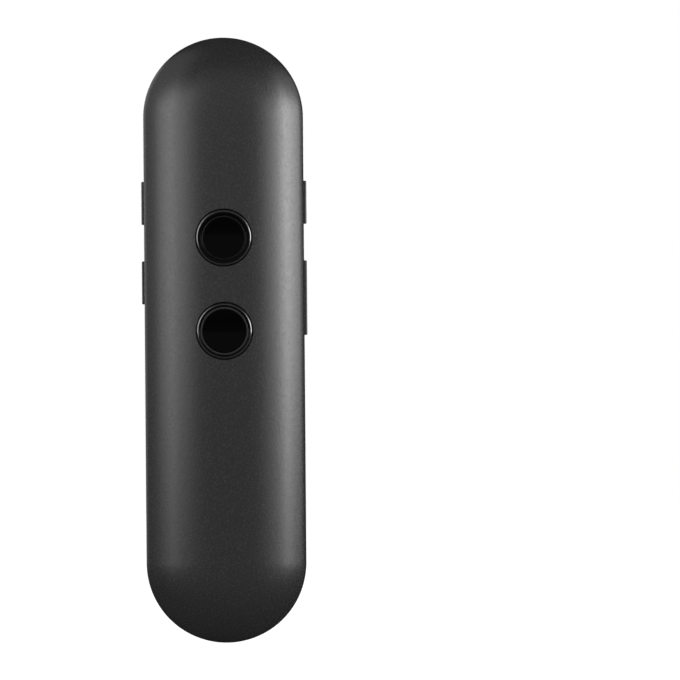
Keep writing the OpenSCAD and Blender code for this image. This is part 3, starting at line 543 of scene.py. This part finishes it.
def makeCoil(slot, pitch=0.14):
    # Wound wire: one ridge to a turn, with painted shade in the groove between turns and a painted highlight
    # on each ridge
    finish = Finish(slot, Metallic=1.0)
    turn = finish.across(1).fold(pitch)
    tint = finish.noise(1200, detail=2)
    # Painted shade and highlight: the colour runs dark in each groove and light on each ridge, with a random
    # tint
    finish.feed("Base Color", finish.blend(turn * 0.7 + tint * 0.3, shade(slot, 0.4), shade(slot, 1.2)))
    finish.feed("Roughness", 0.25 + tint * 0.15)
    finish.bump(turn, strength=0.8, distance=0.00005)
    finishOfSlot[slot] = finish.material


def makeFlex(slot, pitch=0.8):
    # Amber film over copper lines that run along the cable
    finish = Finish(slot, IOR=1.6)
    line = finish.across(0).fold(pitch) > 0.45
    ripple = finish.noise(500, detail=2)
    film = finish.blend(line, shade(slot, 0.55), shade(slot, 1.3))
    finish.feed("Base Color", finish.blend(ripple * 0.4, film, shade(slot, 0.8)))
    finish.feed("Roughness", 0.22 + ripple * 0.15)
    finish.bump(line * 0.7 + ripple * 0.3, strength=0.4, distance=0.00003)
    finishOfSlot[slot] = finish.material


def makeTongue(slot, pitch=1.3):
    # The socket's tongue: plated contacts in moulded plastic
    finish = Finish(slot, IOR=1.5)
    contact = finish.across(0, 0.65).fold(pitch) > 0.45
    grain = finish.noise(4000, detail=2)
    finish.feed("Base Color", finish.blend(contact, shade(slot, 1.2), board["gold"]))
    finish.feed("Metallic", contact)
    finish.feed("Roughness", 0.42 - contact * 0.15 + (grain - 0.5) * 0.1)
    finish.bump(contact + grain * 0.2, strength=0.5, distance=0.00004)
    return finish.material


makeLacquer("case_grey")
makeLacquer("cover_grey")
makeGloss("gloss_black", roughness=0.05)
makeGloss("antenna_ceramic", roughness=0.22)
makeGloss("led_white", roughness=0.16)
makePlastic("ring_smoke", roughness=0.3)
makePlastic("key_black", roughness=0.3, grain=3600, height=0.000006)
makePlastic("switch_black", roughness=0.45)
makePlastic("stem_ivory", roughness=0.4)
makePlastic("connector_white", roughness=0.45)
makePlastic("wire_red", roughness=0.45, grain=1200)
makePlastic("boot_rubber", roughness=0.7, grain=2200, height=0.00002)
makePlastic("basket_black", roughness=0.38, grain=4200, height=0.000015)
makeMetal("pin_steel", roughness=0.25, stretch=(1, 0.05, 1), scale=4000)
makeMetal("screw_steel", roughness=0.3)
makeMetal("can_steel", roughness=0.3, stretch=(0.06, 1, 1), scale=2600)
makeMetal("socket_steel", roughness=0.28, stretch=(1, 1, 0.08), scale=2400)
makeMetal("magnet_steel", roughness=0.32)
makeMetal("mic_gold", roughness=0.25, stretch=(1, 1, 0.1), scale=2600)
makeBoard("board_green")
makeChip("chip_black")
makeFoil("cell_foil")
makeTissue("tape_white", roughness=0.8, fibre=2200)
makeTissue("cone_black", roughness=0.8, fibre=2600)
makeFoam("foam_black", scale=2400)
makeWeave("mesh_grey")
makeCoil("coil_copper")
makeFlex("flex_amber")
tongueFinish = makeTongue("chip_black")
print("finishes made")

slotOf = {part["node"]: part["material_slot"] for part in frame["record"]["subparts"]}
bodyOf = {node: body for body, members in frame["record"]["behaviour"]["bodies"].items() for node in members}
for node, slot in slotOf.items():
    nodes[node].data.materials.clear()
    nodes[node].data.materials.append(finishOfSlot[slot])


# Casing

casing = {"lean": 0.504, "leanPower": 1.83, "cornerPower": 59.8, "faceSteps": 44, "stepPower": 2.4,
          "flat": 8, "faceRadius": 30, "cornerRadius": 5, "wall": 1.6, "innerSteps": 12, "cornerSteps": 18,
          "rimWidth": 1.25, "rimFillet": 0.5, "rimChamfer": 0.15, "groove": 0.3, "edge": 0.8,
          "ledgeWidth": 0.8, "ledgeHeight": 0.7, "coverCrown": 3.71, "coverWall": 1.4, "coverRound": 0.12,
          "coverLip": ((0.03, 0.06), (0, 0.14)), "coverSteps": 30, "coverInnerSteps": 16,
          "openingRadius": 7.2, "openingRound": 0.16, "slotGap": 0.1, "slotRound": 0.4, "slotFlare": 0.1,
          "clipHeights": (-52, -32, -12, 46.5), "clipLength": 5}
sideX = halfWidth - casing["wall"]
ledgeY = rimY - casing["edge"]
floorY = casing["wall"] - halfDepth
coverX = halfWidth - casing["rimWidth"] - casing["groove"]
coverFall = halfDepth - rimY
coverRadius = ((coverX - casing["flat"]) ** 2 + coverFall ** 2) / (2 * coverFall)
keys = {"y": 1.5, "width": 2.4, "proud": 0.7, "round": 0.34, "shortLength": 10.8, "rockerLength": 18.7,
        "flangeLength": 1, "flangeThickness": 0.8, "flangeHalf": 1.2, "gap": 0.1,
        "upperZ": 34.4, "lowerZ": 14.5, "rockerZ": 10.5,
        "shortRoot": 0.7, "rockerRoot": 0.4, "flangeRound": 0.08, "barSegments": 5,
        "lever": 6, "leverRadius": 0.8, "leverReach": 0.9, "leverGap": 0.2,
        "pinX": 17.3, "hubRadius": 0.95, "hubHalf": 0.9, "boreRadius": 0.5, "boreEnd": 0.3}
buttons = {"upperZ": 25.6, "lowerZ": 2.3, "bezelRadius": 7.0, "bezelY": -6.2, "bezelRound": 0.45,
           "bezelLip": 0.12, "bezelFlange": 7.9, "bezelThickness": 0.6,
           "capY": -5.9, "capGap": 0.1, "capWall": 0.8, "dish": 0.22, "ringDepth": 0.9, "ringRound": 0.15,
           "capFlange": 6.95, "capFlangeLift": 0.7, "capFlangeThickness": 0.5, "capEdge": 0.06,
           "ringEdge": 0.03, "roof": 0.2, "plungerRoot": 2.3, "plungerRadius": 1.5, "turnSteps": 128}
# Foot of the plunger under each cap: radius and y
plungerFoot = [(1.5, -2.6), (1.45, -2.55), (1.1, -2.55), (1.05, -2.5), (0, -2.5)]
screwPlaces = [(-8.5, 37.5), (8.5, 37.5), (-11, -6.5), (11, -6.5), (-10, -64.5), (10, -64.5)]
# The outline of a screw boss: radius, and height above the wall's inner side
boss = {"foot": 1.4, "sink": 0.3, "endSink": 0.05, "sides": 32,
        "outline": ((2.15, 0.4), (1.8, 0.75), (1.8, 2.9), (1.7, 3), (0.8, 3), (0.72, 2.9), (0.72, 0.4),
                    (0, 0.4))}
ribs = {"x": 8.5, "half": 0.6, "sink": 0.4, "y": -1.7, "low": -57, "high": -13, "round": 0.15}
pinBlock = {"reach": 1, "half": 1.3, "low": -1.3, "high": 0.1, "sink": 0.8,
            "boreLow": -1.1, "boreHigh": 1, "boreRadius": 0.47}
room = {"rocker": 0.2, "shortFlange": 0.3, "rockerFlange": 0.4, "clip": 2.7}
inlet = {"half": 3.95, "low": -0.6, "high": 2.3, "out": 1, "depth": 3.6, "corner": 0.45}


def faceTilt():
    # Tilt at which the face arc meets the corner arc
    return math.asin((halfWidth - casing["cornerRadius"] - casing["flat"])
                     / (casing["faceRadius"] - casing["cornerRadius"]))


def cornerArc(inset):
    tilt, spread = faceTilt(), casing["faceRadius"] - casing["cornerRadius"]
    centre = (casing["flat"] + spread * math.sin(tilt),
              casing["faceRadius"] - halfDepth - spread * math.cos(tilt))
    return arc(centre, casing["cornerRadius"] - inset, 270 + math.degrees(tilt), 360,
               casing["cornerSteps"])


def crownedFace():
    # The face's outer side: each short step leans more than the last, till it stands upright at the side
    c, steps = casing, casing["faceSteps"]
    reach, height = 0, -halfDepth
    points = [(reach, height)]
    for i in range(1, steps + 1):
        part = 1 - (1 - i / steps) ** c["stepPower"]      # finer toward the corner
        near, reach = reach, part * halfWidth
        half = (near + reach) / 2 / halfWidth
        slope = c["lean"] * half ** c["leanPower"] + (1 - c["lean"]) * half ** c["cornerPower"]
        height += math.tan(math.asin(slope)) * (reach - near)
        points.append((reach, height))
    return points


def innerFace():
    # The wall's inner side: a flat strip, the face arc and the corner arc
    c = casing
    face = arc((c["flat"], c["faceRadius"] - halfDepth), c["faceRadius"] - c["wall"], 270,
               270 + math.degrees(faceTilt()), c["innerSteps"])
    return [(0, floorY)] + face + cornerArc(c["wall"])[1:]


def coverHeight(reach):
    # Height of the back cover's crown at a distance from its middle line
    return halfDepth - coverFall * (reach / coverX) ** casing["coverCrown"]


def openingCutter(z):
    # A button's opening, with its outer edge rounded
    radius, lipRadius = casing["openingRadius"], casing["openingRound"]
    mouth = radius + lipRadius + 0.03
    lip = arc((radius + lipRadius, lipRadius - halfDepth), lipRadius, 252, 180, 4)
    outside = -halfDepth - 2 * overcut
    return turnedPiece([(0, outside), (mouth, outside), (mouth, -halfDepth - 0.01)] + lip
                       + [(radius, floorY + overcut), (0, floorY + overcut)], 0, z)


def slotCutter(side, z, length):
    # A key's slot through the side wall, flared a little at its outer edge
    width, flare = keys["width"] / 2 + casing["slotGap"], casing["slotFlare"]
    length = length / 2 + casing["slotGap"]
    inner, outer = sorted((side * (sideX - overcut), side * (halfWidth - flare)))
    slot = blockPiece((inner, keys["y"] - width, z - length), (outer, keys["y"] + width, z + length))
    editPiece(slot, "EDGE")
    pick("EDGE", lambda e: abs(e.verts[0].co.x - e.verts[1].co.x) > mm)
    bpy.ops.mesh.bevel(offset=casing["slotRound"] * mm, segments=5, affect="EDGES")
    pick("FACE", lambda f: f.normal.x * side > 0.9)
    bpy.ops.mesh.extrude_region_move(TRANSFORM_OT_translate={"value": (side * flare * mm, 0, 0)})
    bpy.ops.transform.resize(value=(1, 1 + flare / width, 1 + flare / length),
                             center_override=(side * halfWidth * mm, keys["y"] * mm, z * mm))
    bpy.ops.mesh.extrude_region_move(TRANSFORM_OT_translate={"value": (side * overcut * mm, 0, 0)})
    endEdit()
    return slot


def ledgeNotch(side, z, reach):
    # The ledge stops beside what passes it
    near, far = sorted((side * (sideX - casing["ledgeWidth"] - overcut), side * sideX))
    return blockPiece((near, ledgeY - casing["ledgeHeight"] - overcut / 2, z - reach),
                      (far, ledgeY + overcut, z + reach))


pocket = {"depth": 0.3, "low": 2.2, "high": 1.2}


def beadPocket(side, z):
    # A pocket in the wall for the bead of a clip
    near, far = sorted((side * (sideX - overcut), side * (sideX + pocket["depth"])))
    return blockPiece((near, ledgeY - pocket["low"], z - room["clip"]),
                      (far, ledgeY - pocket["high"], z + room["clip"]))


def screwBoss(x, z):
    # A boss with its bore, its foot sunk in the front wall, and less so near the lower end
    sink = boss["sink"] if z > -endZ else boss["endSink"]
    outline = [(0, floorY - sink), (boss["foot"], floorY - sink)]
    outline += [(radius, floorY + height) for radius, height in boss["outline"]]
    return turnedPiece(outline, x, z, boss["sides"])


def makeFrontShell():
    c = casing
    fillet = c["rimFillet"]
    inner = sideX - c["ledgeWidth"]
    recess = halfWidth - c["rimWidth"]
    outline = crownedFace()
    outline += arc((halfWidth - fillet, rimY - fillet), fillet, 0, 90, 6)
    outline += [(recess + c["rimChamfer"], rimY), (recess, rimY - c["rimChamfer"]), (recess, ledgeY),
                (inner, ledgeY), (inner, ledgeY - c["ledgeHeight"]), (sideX, ledgeY - c["ledgeHeight"])]
    outline += innerFace()[::-1]
    shell = sweptBody(outline)

    shortSlots = [(1, keys["upperZ"]), (-1, keys["upperZ"]), (-1, keys["lowerZ"])]
    slots = [slotCutter(side, z, keys["shortLength"]) for side, z in shortSlots]
    slots.append(slotCutter(1, keys["rockerZ"], keys["rockerLength"] + room["rocker"]))
    combine(shell, joinPieces(slots + [openingCutter(buttons["upperZ"]), openingCutter(buttons["lowerZ"])]))
    reach = keys["shortLength"] / 2 + keys["flangeLength"] + room["shortFlange"]
    notches = [ledgeNotch(side, z, reach) for side, z in shortSlots]
    reach = keys["rockerLength"] / 2 + keys["flangeLength"] + room["rockerFlange"]
    notches.append(ledgeNotch(1, keys["rockerZ"], reach))
    notches += [ledgeNotch(side, z, room["clip"]) for z in c["clipHeights"] for side in (-1, 1)]
    combine(shell, joinPieces(notches))
    combine(shell, joinPieces([beadPocket(side, z) for z in c["clipHeights"] for side in (-1, 1)]))

    stands = [screwBoss(x, z) for x, z in screwPlaces]
    stands += [blockPiece((x - ribs["half"], floorY - ribs["sink"], ribs["low"]),
                          (x + ribs["half"], ribs["y"], ribs["high"]), ribs["round"])
               for x in (-ribs["x"], ribs["x"])]
    b, pinX, pinZ = pinBlock, keys["pinX"], keys["rockerZ"]
    stands.append(blockPiece((pinX - b["reach"], b["low"], pinZ - b["half"]),
                             (sideX + b["sink"], b["high"], pinZ + b["half"])))
    combine(shell, joinPieces(stands), "UNION")
    combine(shell, rodPiece((pinX, b["boreLow"], pinZ), (pinX, b["boreHigh"], pinZ), b["boreRadius"]))
    combine(shell, socketOpening())
    return shell


def socketOpening():
    foot = -halfWidth - endZ
    opening = blockPiece((-inlet["half"], inlet["low"], foot - inlet["out"]),
                         (inlet["half"], inlet["high"], foot + inlet["depth"]))
    editPiece(opening, "EDGE")
    pick("EDGE", lambda e: abs(e.verts[0].co.z - e.verts[1].co.z) > mm)
    bpy.ops.mesh.bevel(offset=inlet["corner"] * mm, segments=5, affect="EDGES")
    endEdit()
    return opening


# A clip's section: distance out from its outer side, and height above the ledge
clip = {"gap": 0.2, "section": ((0, 0.2), (0, -1.3), (0.35, -1.6), (0.35, -1.8), (0, -2.1), (-0.75, -2.1),
                                (-0.9, -1.9), (-0.9, 0.2))}


def clipPiece(side, z):
    # A tongue with a bead that snaps into the shell's wall
    outer = sideX - clip["gap"]
    half = casing["clipLength"] / 2
    return prismPiece([(side * (outer + x), ledgeY + y) for x, y in clip["section"]], z - half, z + half)


grille = {"rings": 5, "pitch": 2.22, "holeRadius": 0.475, "edge": 0.06, "sides": 24, "turn": 0.11,
          "cutLow": 2, "cutHigh": 7,
          "micRadius": 0.525, "micX": 13.4, "micZ": 39.3, "micSides": 32}
# Inside the cover: the speaker's ring and recess, and the microphones' seats
fittings = {"ringInner": 12.4, "ringOuter": 13.8, "ringLow": 3.2, "ringHigh": 4.5,
            "recessRadius": 12.175, "recessLow": 2.2, "recessHigh": 4.3,
            "seatRadius": 2.2, "seatHigh": 4.3, "seatReach": 2, "seatSteps": 48}


def holeCutter(radius, sides):
    # One hole, with its outer edge broken where it meets the surface
    edge, low, high = grille["edge"], grille["cutLow"], grille["cutHigh"]
    hole = turnedPiece([(0, low), (radius, low), (radius, halfDepth - edge),
                        (radius + 3 * edge, halfDepth + 2 * edge), (0, high)], 0, 0, sides)
    editPiece(hole)
    bpy.ops.mesh.select_all(action="SELECT")
    bpy.ops.transform.rotate(value=grille["turn"], orient_axis="Y", center_override=(0, 0, 0))
    bpy.ops.object.mode_set(mode="OBJECT")
    return hole


def copyPiece(piece, x, y, z):
    # A copy with its own mesh, moved by millimetres
    selectOnly(piece)
    bpy.ops.object.duplicate()
    bpy.ops.transform.translate(value=(x * mm, y * mm, z * mm))
    return bpy.context.object


def makeBackCover():
    c = casing
    centre = (c["flat"], halfDepth - coverRadius)
    edge = coverX - c["coverRound"]
    steps, rim = c["coverSteps"], coverHeight(edge)
    outline = [(edge * i / steps, coverHeight(edge * i / steps)) for i in range(steps + 1)]
    outline += [(coverX - inset, rim - drop) for inset, drop in c["coverLip"]] + [(coverX, ledgeY)]
    innerRadius = coverRadius - c["coverWall"]
    innerTurn = math.degrees(math.acos((ledgeY - centre[1]) / innerRadius))
    outline += arc(centre, innerRadius, 90 - innerTurn, 90, c["coverInnerSteps"])
    outline.append((0, halfDepth - c["coverWall"]))
    cover = sweptBody(outline)

    f = fittings
    speakerRing = turnedPiece([(f["ringInner"], f["ringLow"]), (f["ringOuter"], f["ringLow"]),
                               (f["ringOuter"], f["ringHigh"]), (f["ringInner"], f["ringHigh"]),
                               (f["ringInner"], f["ringLow"])], 0, endZ)
    seatReach = grille["micX"] + f["seatReach"] - c["flat"]
    seatY = halfDepth - coverRadius + math.sqrt(innerRadius ** 2 - seatReach ** 2)
    seatOutline = [(0, seatY), (f["seatRadius"], seatY), (f["seatRadius"], f["seatHigh"]), (0, f["seatHigh"])]
    seats = [turnedPiece(seatOutline, side * grille["micX"], grille["micZ"], f["seatSteps"])
             for side in (-1, 1)]
    clips = [clipPiece(side, z) for z in c["clipHeights"] for side in (-1, 1)]
    combine(cover, joinPieces([speakerRing] + seats + clips), "UNION")
    combine(cover, turnedPiece([(0, f["recessLow"]), (f["recessRadius"], f["recessLow"]),
                                (f["recessRadius"], f["recessHigh"]), (0, f["recessHigh"])], 0, endZ))

    hole = holeCutter(grille["holeRadius"], grille["sides"])
    holes = [copyPiece(hole, 0, 0, endZ)]
    for ring in range(1, grille["rings"] + 1):
        reach = ring * grille["pitch"]
        for step in range(6 * ring):
            turn = 2 * math.pi * step / (6 * ring)
            holes.append(copyPiece(hole, reach * math.sin(turn), coverHeight(reach) - halfDepth,
                                   endZ + reach * math.cos(turn)))
    micHole = holeCutter(grille["micRadius"], grille["micSides"])
    drop = coverHeight(grille["micX"]) - halfDepth
    holes += [copyPiece(micHole, side * grille["micX"], drop, grille["micZ"]) for side in (-1, 1)]
    bpy.data.objects.remove(hole)
    bpy.data.objects.remove(micHole)
    tool = joinPieces(holes)
    applyModifier(cover, "TRIANGULATE")      # flat triangles cut more cleanly than large faces
    applyModifier(tool, "TRIANGULATE")
    combine(cover, tool)
    return cover


finishPiece(makeFrontShell(), "frontShell", "case", "case_grey", "front_shell")
print("front shell made")
finishPiece(makeBackCover(), "backCover", "case", "cover_grey", "back_cover")
print("back cover made")


# Front buttons

# Each light ring's tone carries painted light: the upper ring is painted darker and the lower lighter, for
# how the lamps fall on them
buttonKinds = {"upper": {"bezelWidth": 1.4, "ringWidth": 0.25, "ringShade": 0.4},
               "lower": {"bezelWidth": 0.85, "ringWidth": 0.5, "ringShade": 0.9}}
capFinish = makeDeepGloss("gloss_black", roughness=0.05, factor=0.5, level=0.08)


def makeButton(place):
    b, kind = buttons, buttonKinds[place]
    z = b[place + "Z"]
    inner = b["bezelRadius"] - kind["bezelWidth"]
    lip, edge, back = b["bezelLip"], b["bezelRound"], floorY + b["bezelThickness"]
    bezel = [(inner, back), (inner, b["bezelY"] + lip)]
    bezel += arc((inner + lip, b["bezelY"] + lip), lip, 180, 270, 4)[1:]
    bezel += arc((b["bezelRadius"] - edge, b["bezelY"] + edge), edge, 270, 360, 10)
    bezel += [(b["bezelRadius"], floorY), (b["bezelFlange"], floorY), (b["bezelFlange"], back), (inner, back)]
    finishPiece(turnedPiece(bezel, 0, z, b["turnSteps"]), place + "Bezel", "case", "gloss_black",
                place + "_button_bezel", finish=makeBezel("gloss_black", z))

    radius = inner - b["capGap"]
    disc = radius - kind["ringWidth"]
    dishRadius = (disc ** 2 + b["dish"] ** 2) / (2 * b["dish"])
    rise = math.degrees(math.asin((disc - b["capEdge"]) / dishRadius))
    shoulder = b["capY"] + b["ringDepth"]
    flangeY = floorY + b["capFlangeLift"]
    flangeBack = flangeY + b["capFlangeThickness"]
    hollow = radius - b["capWall"]
    cap = arc((0, b["capY"] + b["dish"] - dishRadius), dishRadius, 90, 90 - rise, 12)
    cap += [(disc - b["capEdge"] / 2, b["capY"] + 0.01), (disc, b["capY"] + b["capEdge"]), (disc, shoulder),
            (radius, shoulder), (radius, flangeY), (b["capFlange"], flangeY), (b["capFlange"], flangeBack),
            (hollow, flangeBack), (hollow, shoulder + b["roof"]), (b["plungerRoot"], shoulder + b["roof"]),
            (b["plungerRadius"], shoulder + 2 * b["roof"])] + plungerFoot
    finishPiece(turnedPiece(cap, 0, z, b["turnSteps"]), place + "Cap", place + "_button", "gloss_black",
                place + "_button_cap", finish=capFinish)

    top, edge, chamfer = b["capY"], b["ringRound"], b["ringEdge"]
    ring = [(disc, top + chamfer), (disc + chamfer, top), (radius - edge, top)]
    ring += arc((radius - edge, top + edge), edge, 270, 360, 4)[1:]
    ring += [(radius, shoulder), (disc, shoulder), (disc, top + chamfer)]
    # The ring's finish is a darker or lighter copy of the smoked plastic, as painted shade and painted light
    ringFinish = makeDeepGloss("ring_smoke", roughness=0.3, factor=kind["ringShade"], level=0.2)
    finishPiece(turnedPiece(ring, 0, z, b["turnSteps"]), place + "LightRing", place + "_button", "ring_smoke",
                place + "_light_ring", finish=ringFinish)


makeButton("upper")
makeButton("lower")
print("buttons made")


# Side keys

def keyBar(side, z, length, inner):
    # The bar that stands out of the case, with all its edges rounded
    near, far = sorted((side * inner, side * (halfWidth + keys["proud"])))
    half = keys["width"] / 2
    return blockPiece((near, keys["y"] - half, z - length / 2), (far, keys["y"] + half, z + length / 2),
                      keys["round"], keys["barSegments"])


def makeShortKey(name, side, z, node):
    k = keys
    bar = keyBar(side, z, k["shortLength"], sideX - k["shortRoot"])
    near, far = sorted((side * (sideX - k["gap"] - k["flangeThickness"]), side * (sideX - k["gap"])))
    reach = k["shortLength"] / 2 + k["flangeLength"]
    flange = blockPiece((near, k["y"] - k["flangeHalf"], z - reach),
                        (far, k["y"] + k["flangeHalf"], z + reach), k["flangeRound"], 2)
    combine(bar, flange, "UNION")
    finishPiece(bar, name, node[:-4], "key_black", node)


def makeRocker():
    k = keys
    z, x = k["rockerZ"], k["pinX"]
    low, high = k["y"] - k["flangeHalf"], k["y"] + k["flangeHalf"]
    rocker = keyBar(1, z, k["rockerLength"], sideX - k["rockerRoot"])
    combine(rocker, rodPiece((x, low, z), (x, high, z), k["hubRadius"]), "UNION")
    combine(rocker, blockPiece((x, low, z - k["hubHalf"]), (sideX, high, z + k["hubHalf"])), "UNION")
    for lever in (-k["lever"], k["lever"]):
        pad = rodPiece((sideX - k["leverReach"], k["y"], z + lever),
                       (sideX - k["leverGap"], k["y"], z + lever), k["leverRadius"])
        combine(rocker, pad, "UNION")
    combine(rocker, rodPiece((x, low - overcut, z), (x, high - k["boreEnd"], z), k["boreRadius"]))
    finishPiece(rocker, "rockerKey", "rocker", "key_black", "right_rocker_key")


makeShortKey("leftUpperKey", -1, keys["upperZ"], "left_upper_key")
makeShortKey("rightUpperKey", 1, keys["upperZ"], "right_upper_key")
makeShortKey("leftLowerKey", -1, keys["lowerZ"], "left_lower_key")
makeRocker()
print("keys made")


# Inner pieces

# Width of the edge rounding on each inner piece, in millimetres
innerEdges = {
    "upper_button_switch": 0.1, "lower_button_switch": 0.1, "left_upper_switch": 0.1,
    "right_upper_switch": 0.1, "left_lower_switch": 0.1, "rocker_top_switch": 0.1,
    "rocker_bottom_switch": 0.1,
    "upper_button_stem": 0.12, "lower_button_stem": 0.12, "left_upper_stem": 0.1, "right_upper_stem": 0.1,
    "left_lower_stem": 0.1, "rocker_top_stem": 0.1, "rocker_bottom_stem": 0.1, "rocker_pin": 0.08,
    "main_board": 0.05, "charge_board": 0.05, "battery_guard_board": 0.05, "board_screws": 0.08,
    "processor": 0.06, "memory_chip": 0.06, "audio_chip": 0.06, "power_chip": 0.06, "charge_chip": 0.06,
    "shield_can": 0.12, "radio_module": 0.15, "crystal": 0.2, "chip_antenna": 0.06, "button_leds": 0.06,
    "battery_cell": 0.35, "battery_tape": 0.04, "battery_plug": 0.12, "battery_socket": 0.08,
    "usb_socket": 0.05, "usb_tongue": 0.06, "speaker_magnet": 0.12, "speaker_frame": 0.08,
    "left_mic": 0.08, "right_mic": 0.08, "left_mic_boot": 0.12, "right_mic_boot": 0.12}


def dressNode(node, width, finish=None):
    # A copy of a node with its loose triangles merged and its edges rounded
    selectOnly(nodes[node])
    bpy.ops.object.duplicate()
    piece = bpy.context.object
    editPiece(piece)
    bpy.ops.mesh.select_all(action="SELECT")
    bpy.ops.mesh.remove_doubles(threshold=tiny)
    bpy.ops.mesh.dissolve_limited(angle_limit=math.radians(0.5))
    endEdit()
    applyModifier(piece, "BEVEL", width=width * mm, segments=2, limit_method="ANGLE",
                  angle_limit=math.radians(40))
    name = "".join(word.title() if i else word for i, word in enumerate(node.split("_")))
    if name == node:
        name += "Body"
    finishPiece(piece, name, bodyOf[node], slotOf[node], node, finish=finish)


ownFinishes = {"left_mic": makeMicrophone("mic_gold", -grille["micX"], grille["micZ"]),
               "right_mic": makeMicrophone("mic_gold", grille["micX"], grille["micZ"]),
               "usb_tongue": tongueFinish}
for node, width in innerEdges.items():
    dressNode(node, width, ownFinishes.get(node))
print("inner pieces dressed")


# Studio

studio = {"cameraDistance": 2000, "frameWidth": 170.28, "aimX": 28.83, "aimZ": -0.19, "roll": 0.445,
          "farClip": 20, "floorSize": 3.0, "floorTone": 0.15, "floorGlow": 0.965, "fadeFrom": 0.2,
          "fadeTo": 1.1, "ambient": 0.1}

# Each soft box: angle, height, distance, (width, height), power, and its twin's share of that power behind
lamps = {
    "leftStrip": (-28.2, 0.086, 0.607, (0.333, 0.242), 0.714, 0.85),
    "leftWide": (-57.3, 0.345, 0.72, (0.85, 0.8), 1.63, 0.8),
    "leftCore": (-29, 0.1, 0.65, (0.06, 0.36), 0.22, 0.8),
    "leftSide": (-100, 0.202, 0.7, (0.8, 0.8), 2.95, 0),
    "rightInner": (29, 0.08, 0.9, (0.4, 0.22), 0.764, 0.7),
    "rightStrip": (37.3, 0.067, 0.525, (0.211, 0.199), 0.394, 0.9),
    "rightCore": (37, 0.08, 0.6, (0.06, 0.36), 0.4, 0.7),
    "rightOuter": (47, 0.08, 0.6, (0.25, 0.22), 0.892, 0.3),
    "rightWide": (61.7, 0.15, 0.451, (0.431, 0.326), 0.644, 0),
    "front": (5, 0.3, 1.2, (0.8, 0.6), 0.396, 5.5)}
rimLamp = (180, 0.03, 1.2, (0.9, 0.4), 1.7)


def addLamp(name, angle, height, distance, size, power):
    # A soft box at an angle round the object: 0 is in front of it, 90 at its right
    turn = math.radians(angle)
    place = Vector((math.sin(turn) * distance, -math.cos(turn) * distance, height))
    lamp = bpy.data.objects.new(name, bpy.data.lights.new(name, "AREA"))
    lamp.data.shape = "RECTANGLE"
    lamp.data.size, lamp.data.size_y = size
    lamp.data.energy = power
    lamp.location = place
    lamp.rotation_euler = (-place).to_track_quat("-Z", "Y").to_euler()
    lamp.visible_camera = False
    bpy.context.scene.collection.objects.link(lamp)
    return lamp


def makeStudio():
    s = studio
    camera = bpy.data.objects.new("camera", bpy.data.cameras.new("camera"))
    camera.data.lens = camera.data.sensor_width * s["cameraDistance"] / s["frameWidth"]
    camera.location = Vector((s["aimX"], -s["cameraDistance"], s["aimZ"])) * mm
    camera.rotation_euler = (math.radians(90), math.radians(s["roll"]), 0)
    camera.data.clip_end = s["farClip"]
    bpy.context.scene.collection.objects.link(camera)
    bpy.context.scene.camera = camera
    bpy.context.scene.view_settings.view_transform = "Standard"

    # The lamps behind would glare on the shell's outline, so it has one of its own there
    others, shellOnly = bpy.data.collections.new("others"), bpy.data.collections.new("shellOnly")
    for group in (others, shellOnly):
        group.objects.link(bpy.data.objects["frontShell"])
    others.collection_objects[0].light_linking.link_state = "EXCLUDE"
    for name, (angle, height, distance, size, power, behind) in lamps.items():
        addLamp(name, angle, height, distance, size, power)
        if behind:
            twin = addLamp(name + "Behind", angle + 180, height, distance, size, power * behind)
            if name != "front":
                twin.light_linking.receiver_collection = others
    addLamp("rimBehind", *rimLamp).light_linking.receiver_collection = shellOnly

    selectOnly()
    bpy.ops.mesh.primitive_plane_add(size=s["floorSize"], location=(0, 0, cadLow.z))
    floor = bpy.context.object
    floor.name = "floor"
    floor.data.materials.append(makeFloorFinish())
    makeWorld()


def makeFloorFinish():
    # Pale floor: it shows white where it is open, and keeps a soft shadow
    finish = Finish("pale_floor", Base_Color=grey(studio["floorTone"]), Roughness=0.9, Specular_IOR_Level=0.2)
    seen = finish.node("ShaderNodeLightPath", output="Is Camera Ray")
    reach = finish.node("ShaderNodeVectorMath", {"operation": "LENGTH"}, {0: finish.place()}, "Value")
    fade = finish.node("ShaderNodeMapRange", None, {
        "Value": reach, "From Min": studio["fadeFrom"], "From Max": studio["fadeTo"],
        "To Min": studio["floorGlow"], "To Max": 1.0})
    glow = finish.node("ShaderNodeEmission", None, {"Color": grey(1), "Strength": seen * fade})
    both = finish.node("ShaderNodeAddShader", None, {0: Link(finish, finish.shader.outputs[0]), 1: glow})
    finish.tree.links.new(both.socket, finish.tree.nodes["Material Output"].inputs["Surface"])
    return finish.material


def makeWorld():
    # White where the camera sees it, and a dim even light for everything else
    world = bpy.data.worlds.new("studio")
    bpy.context.scene.world = world
    world.use_nodes = True
    graph = Graph(world.node_tree)
    backdrop = graph.tree.nodes["Background"].inputs
    backdrop["Color"].default_value = grey(1)
    seen = graph.node("ShaderNodeLightPath", output="Is Camera Ray")
    strength = graph.node("ShaderNodeMapRange", None, {
        "Value": seen, "To Min": studio["ambient"], "To Max": 1.0})
    graph.tree.links.new(strength.socket, backdrop["Strength"])


makeStudio()
print("studio made")
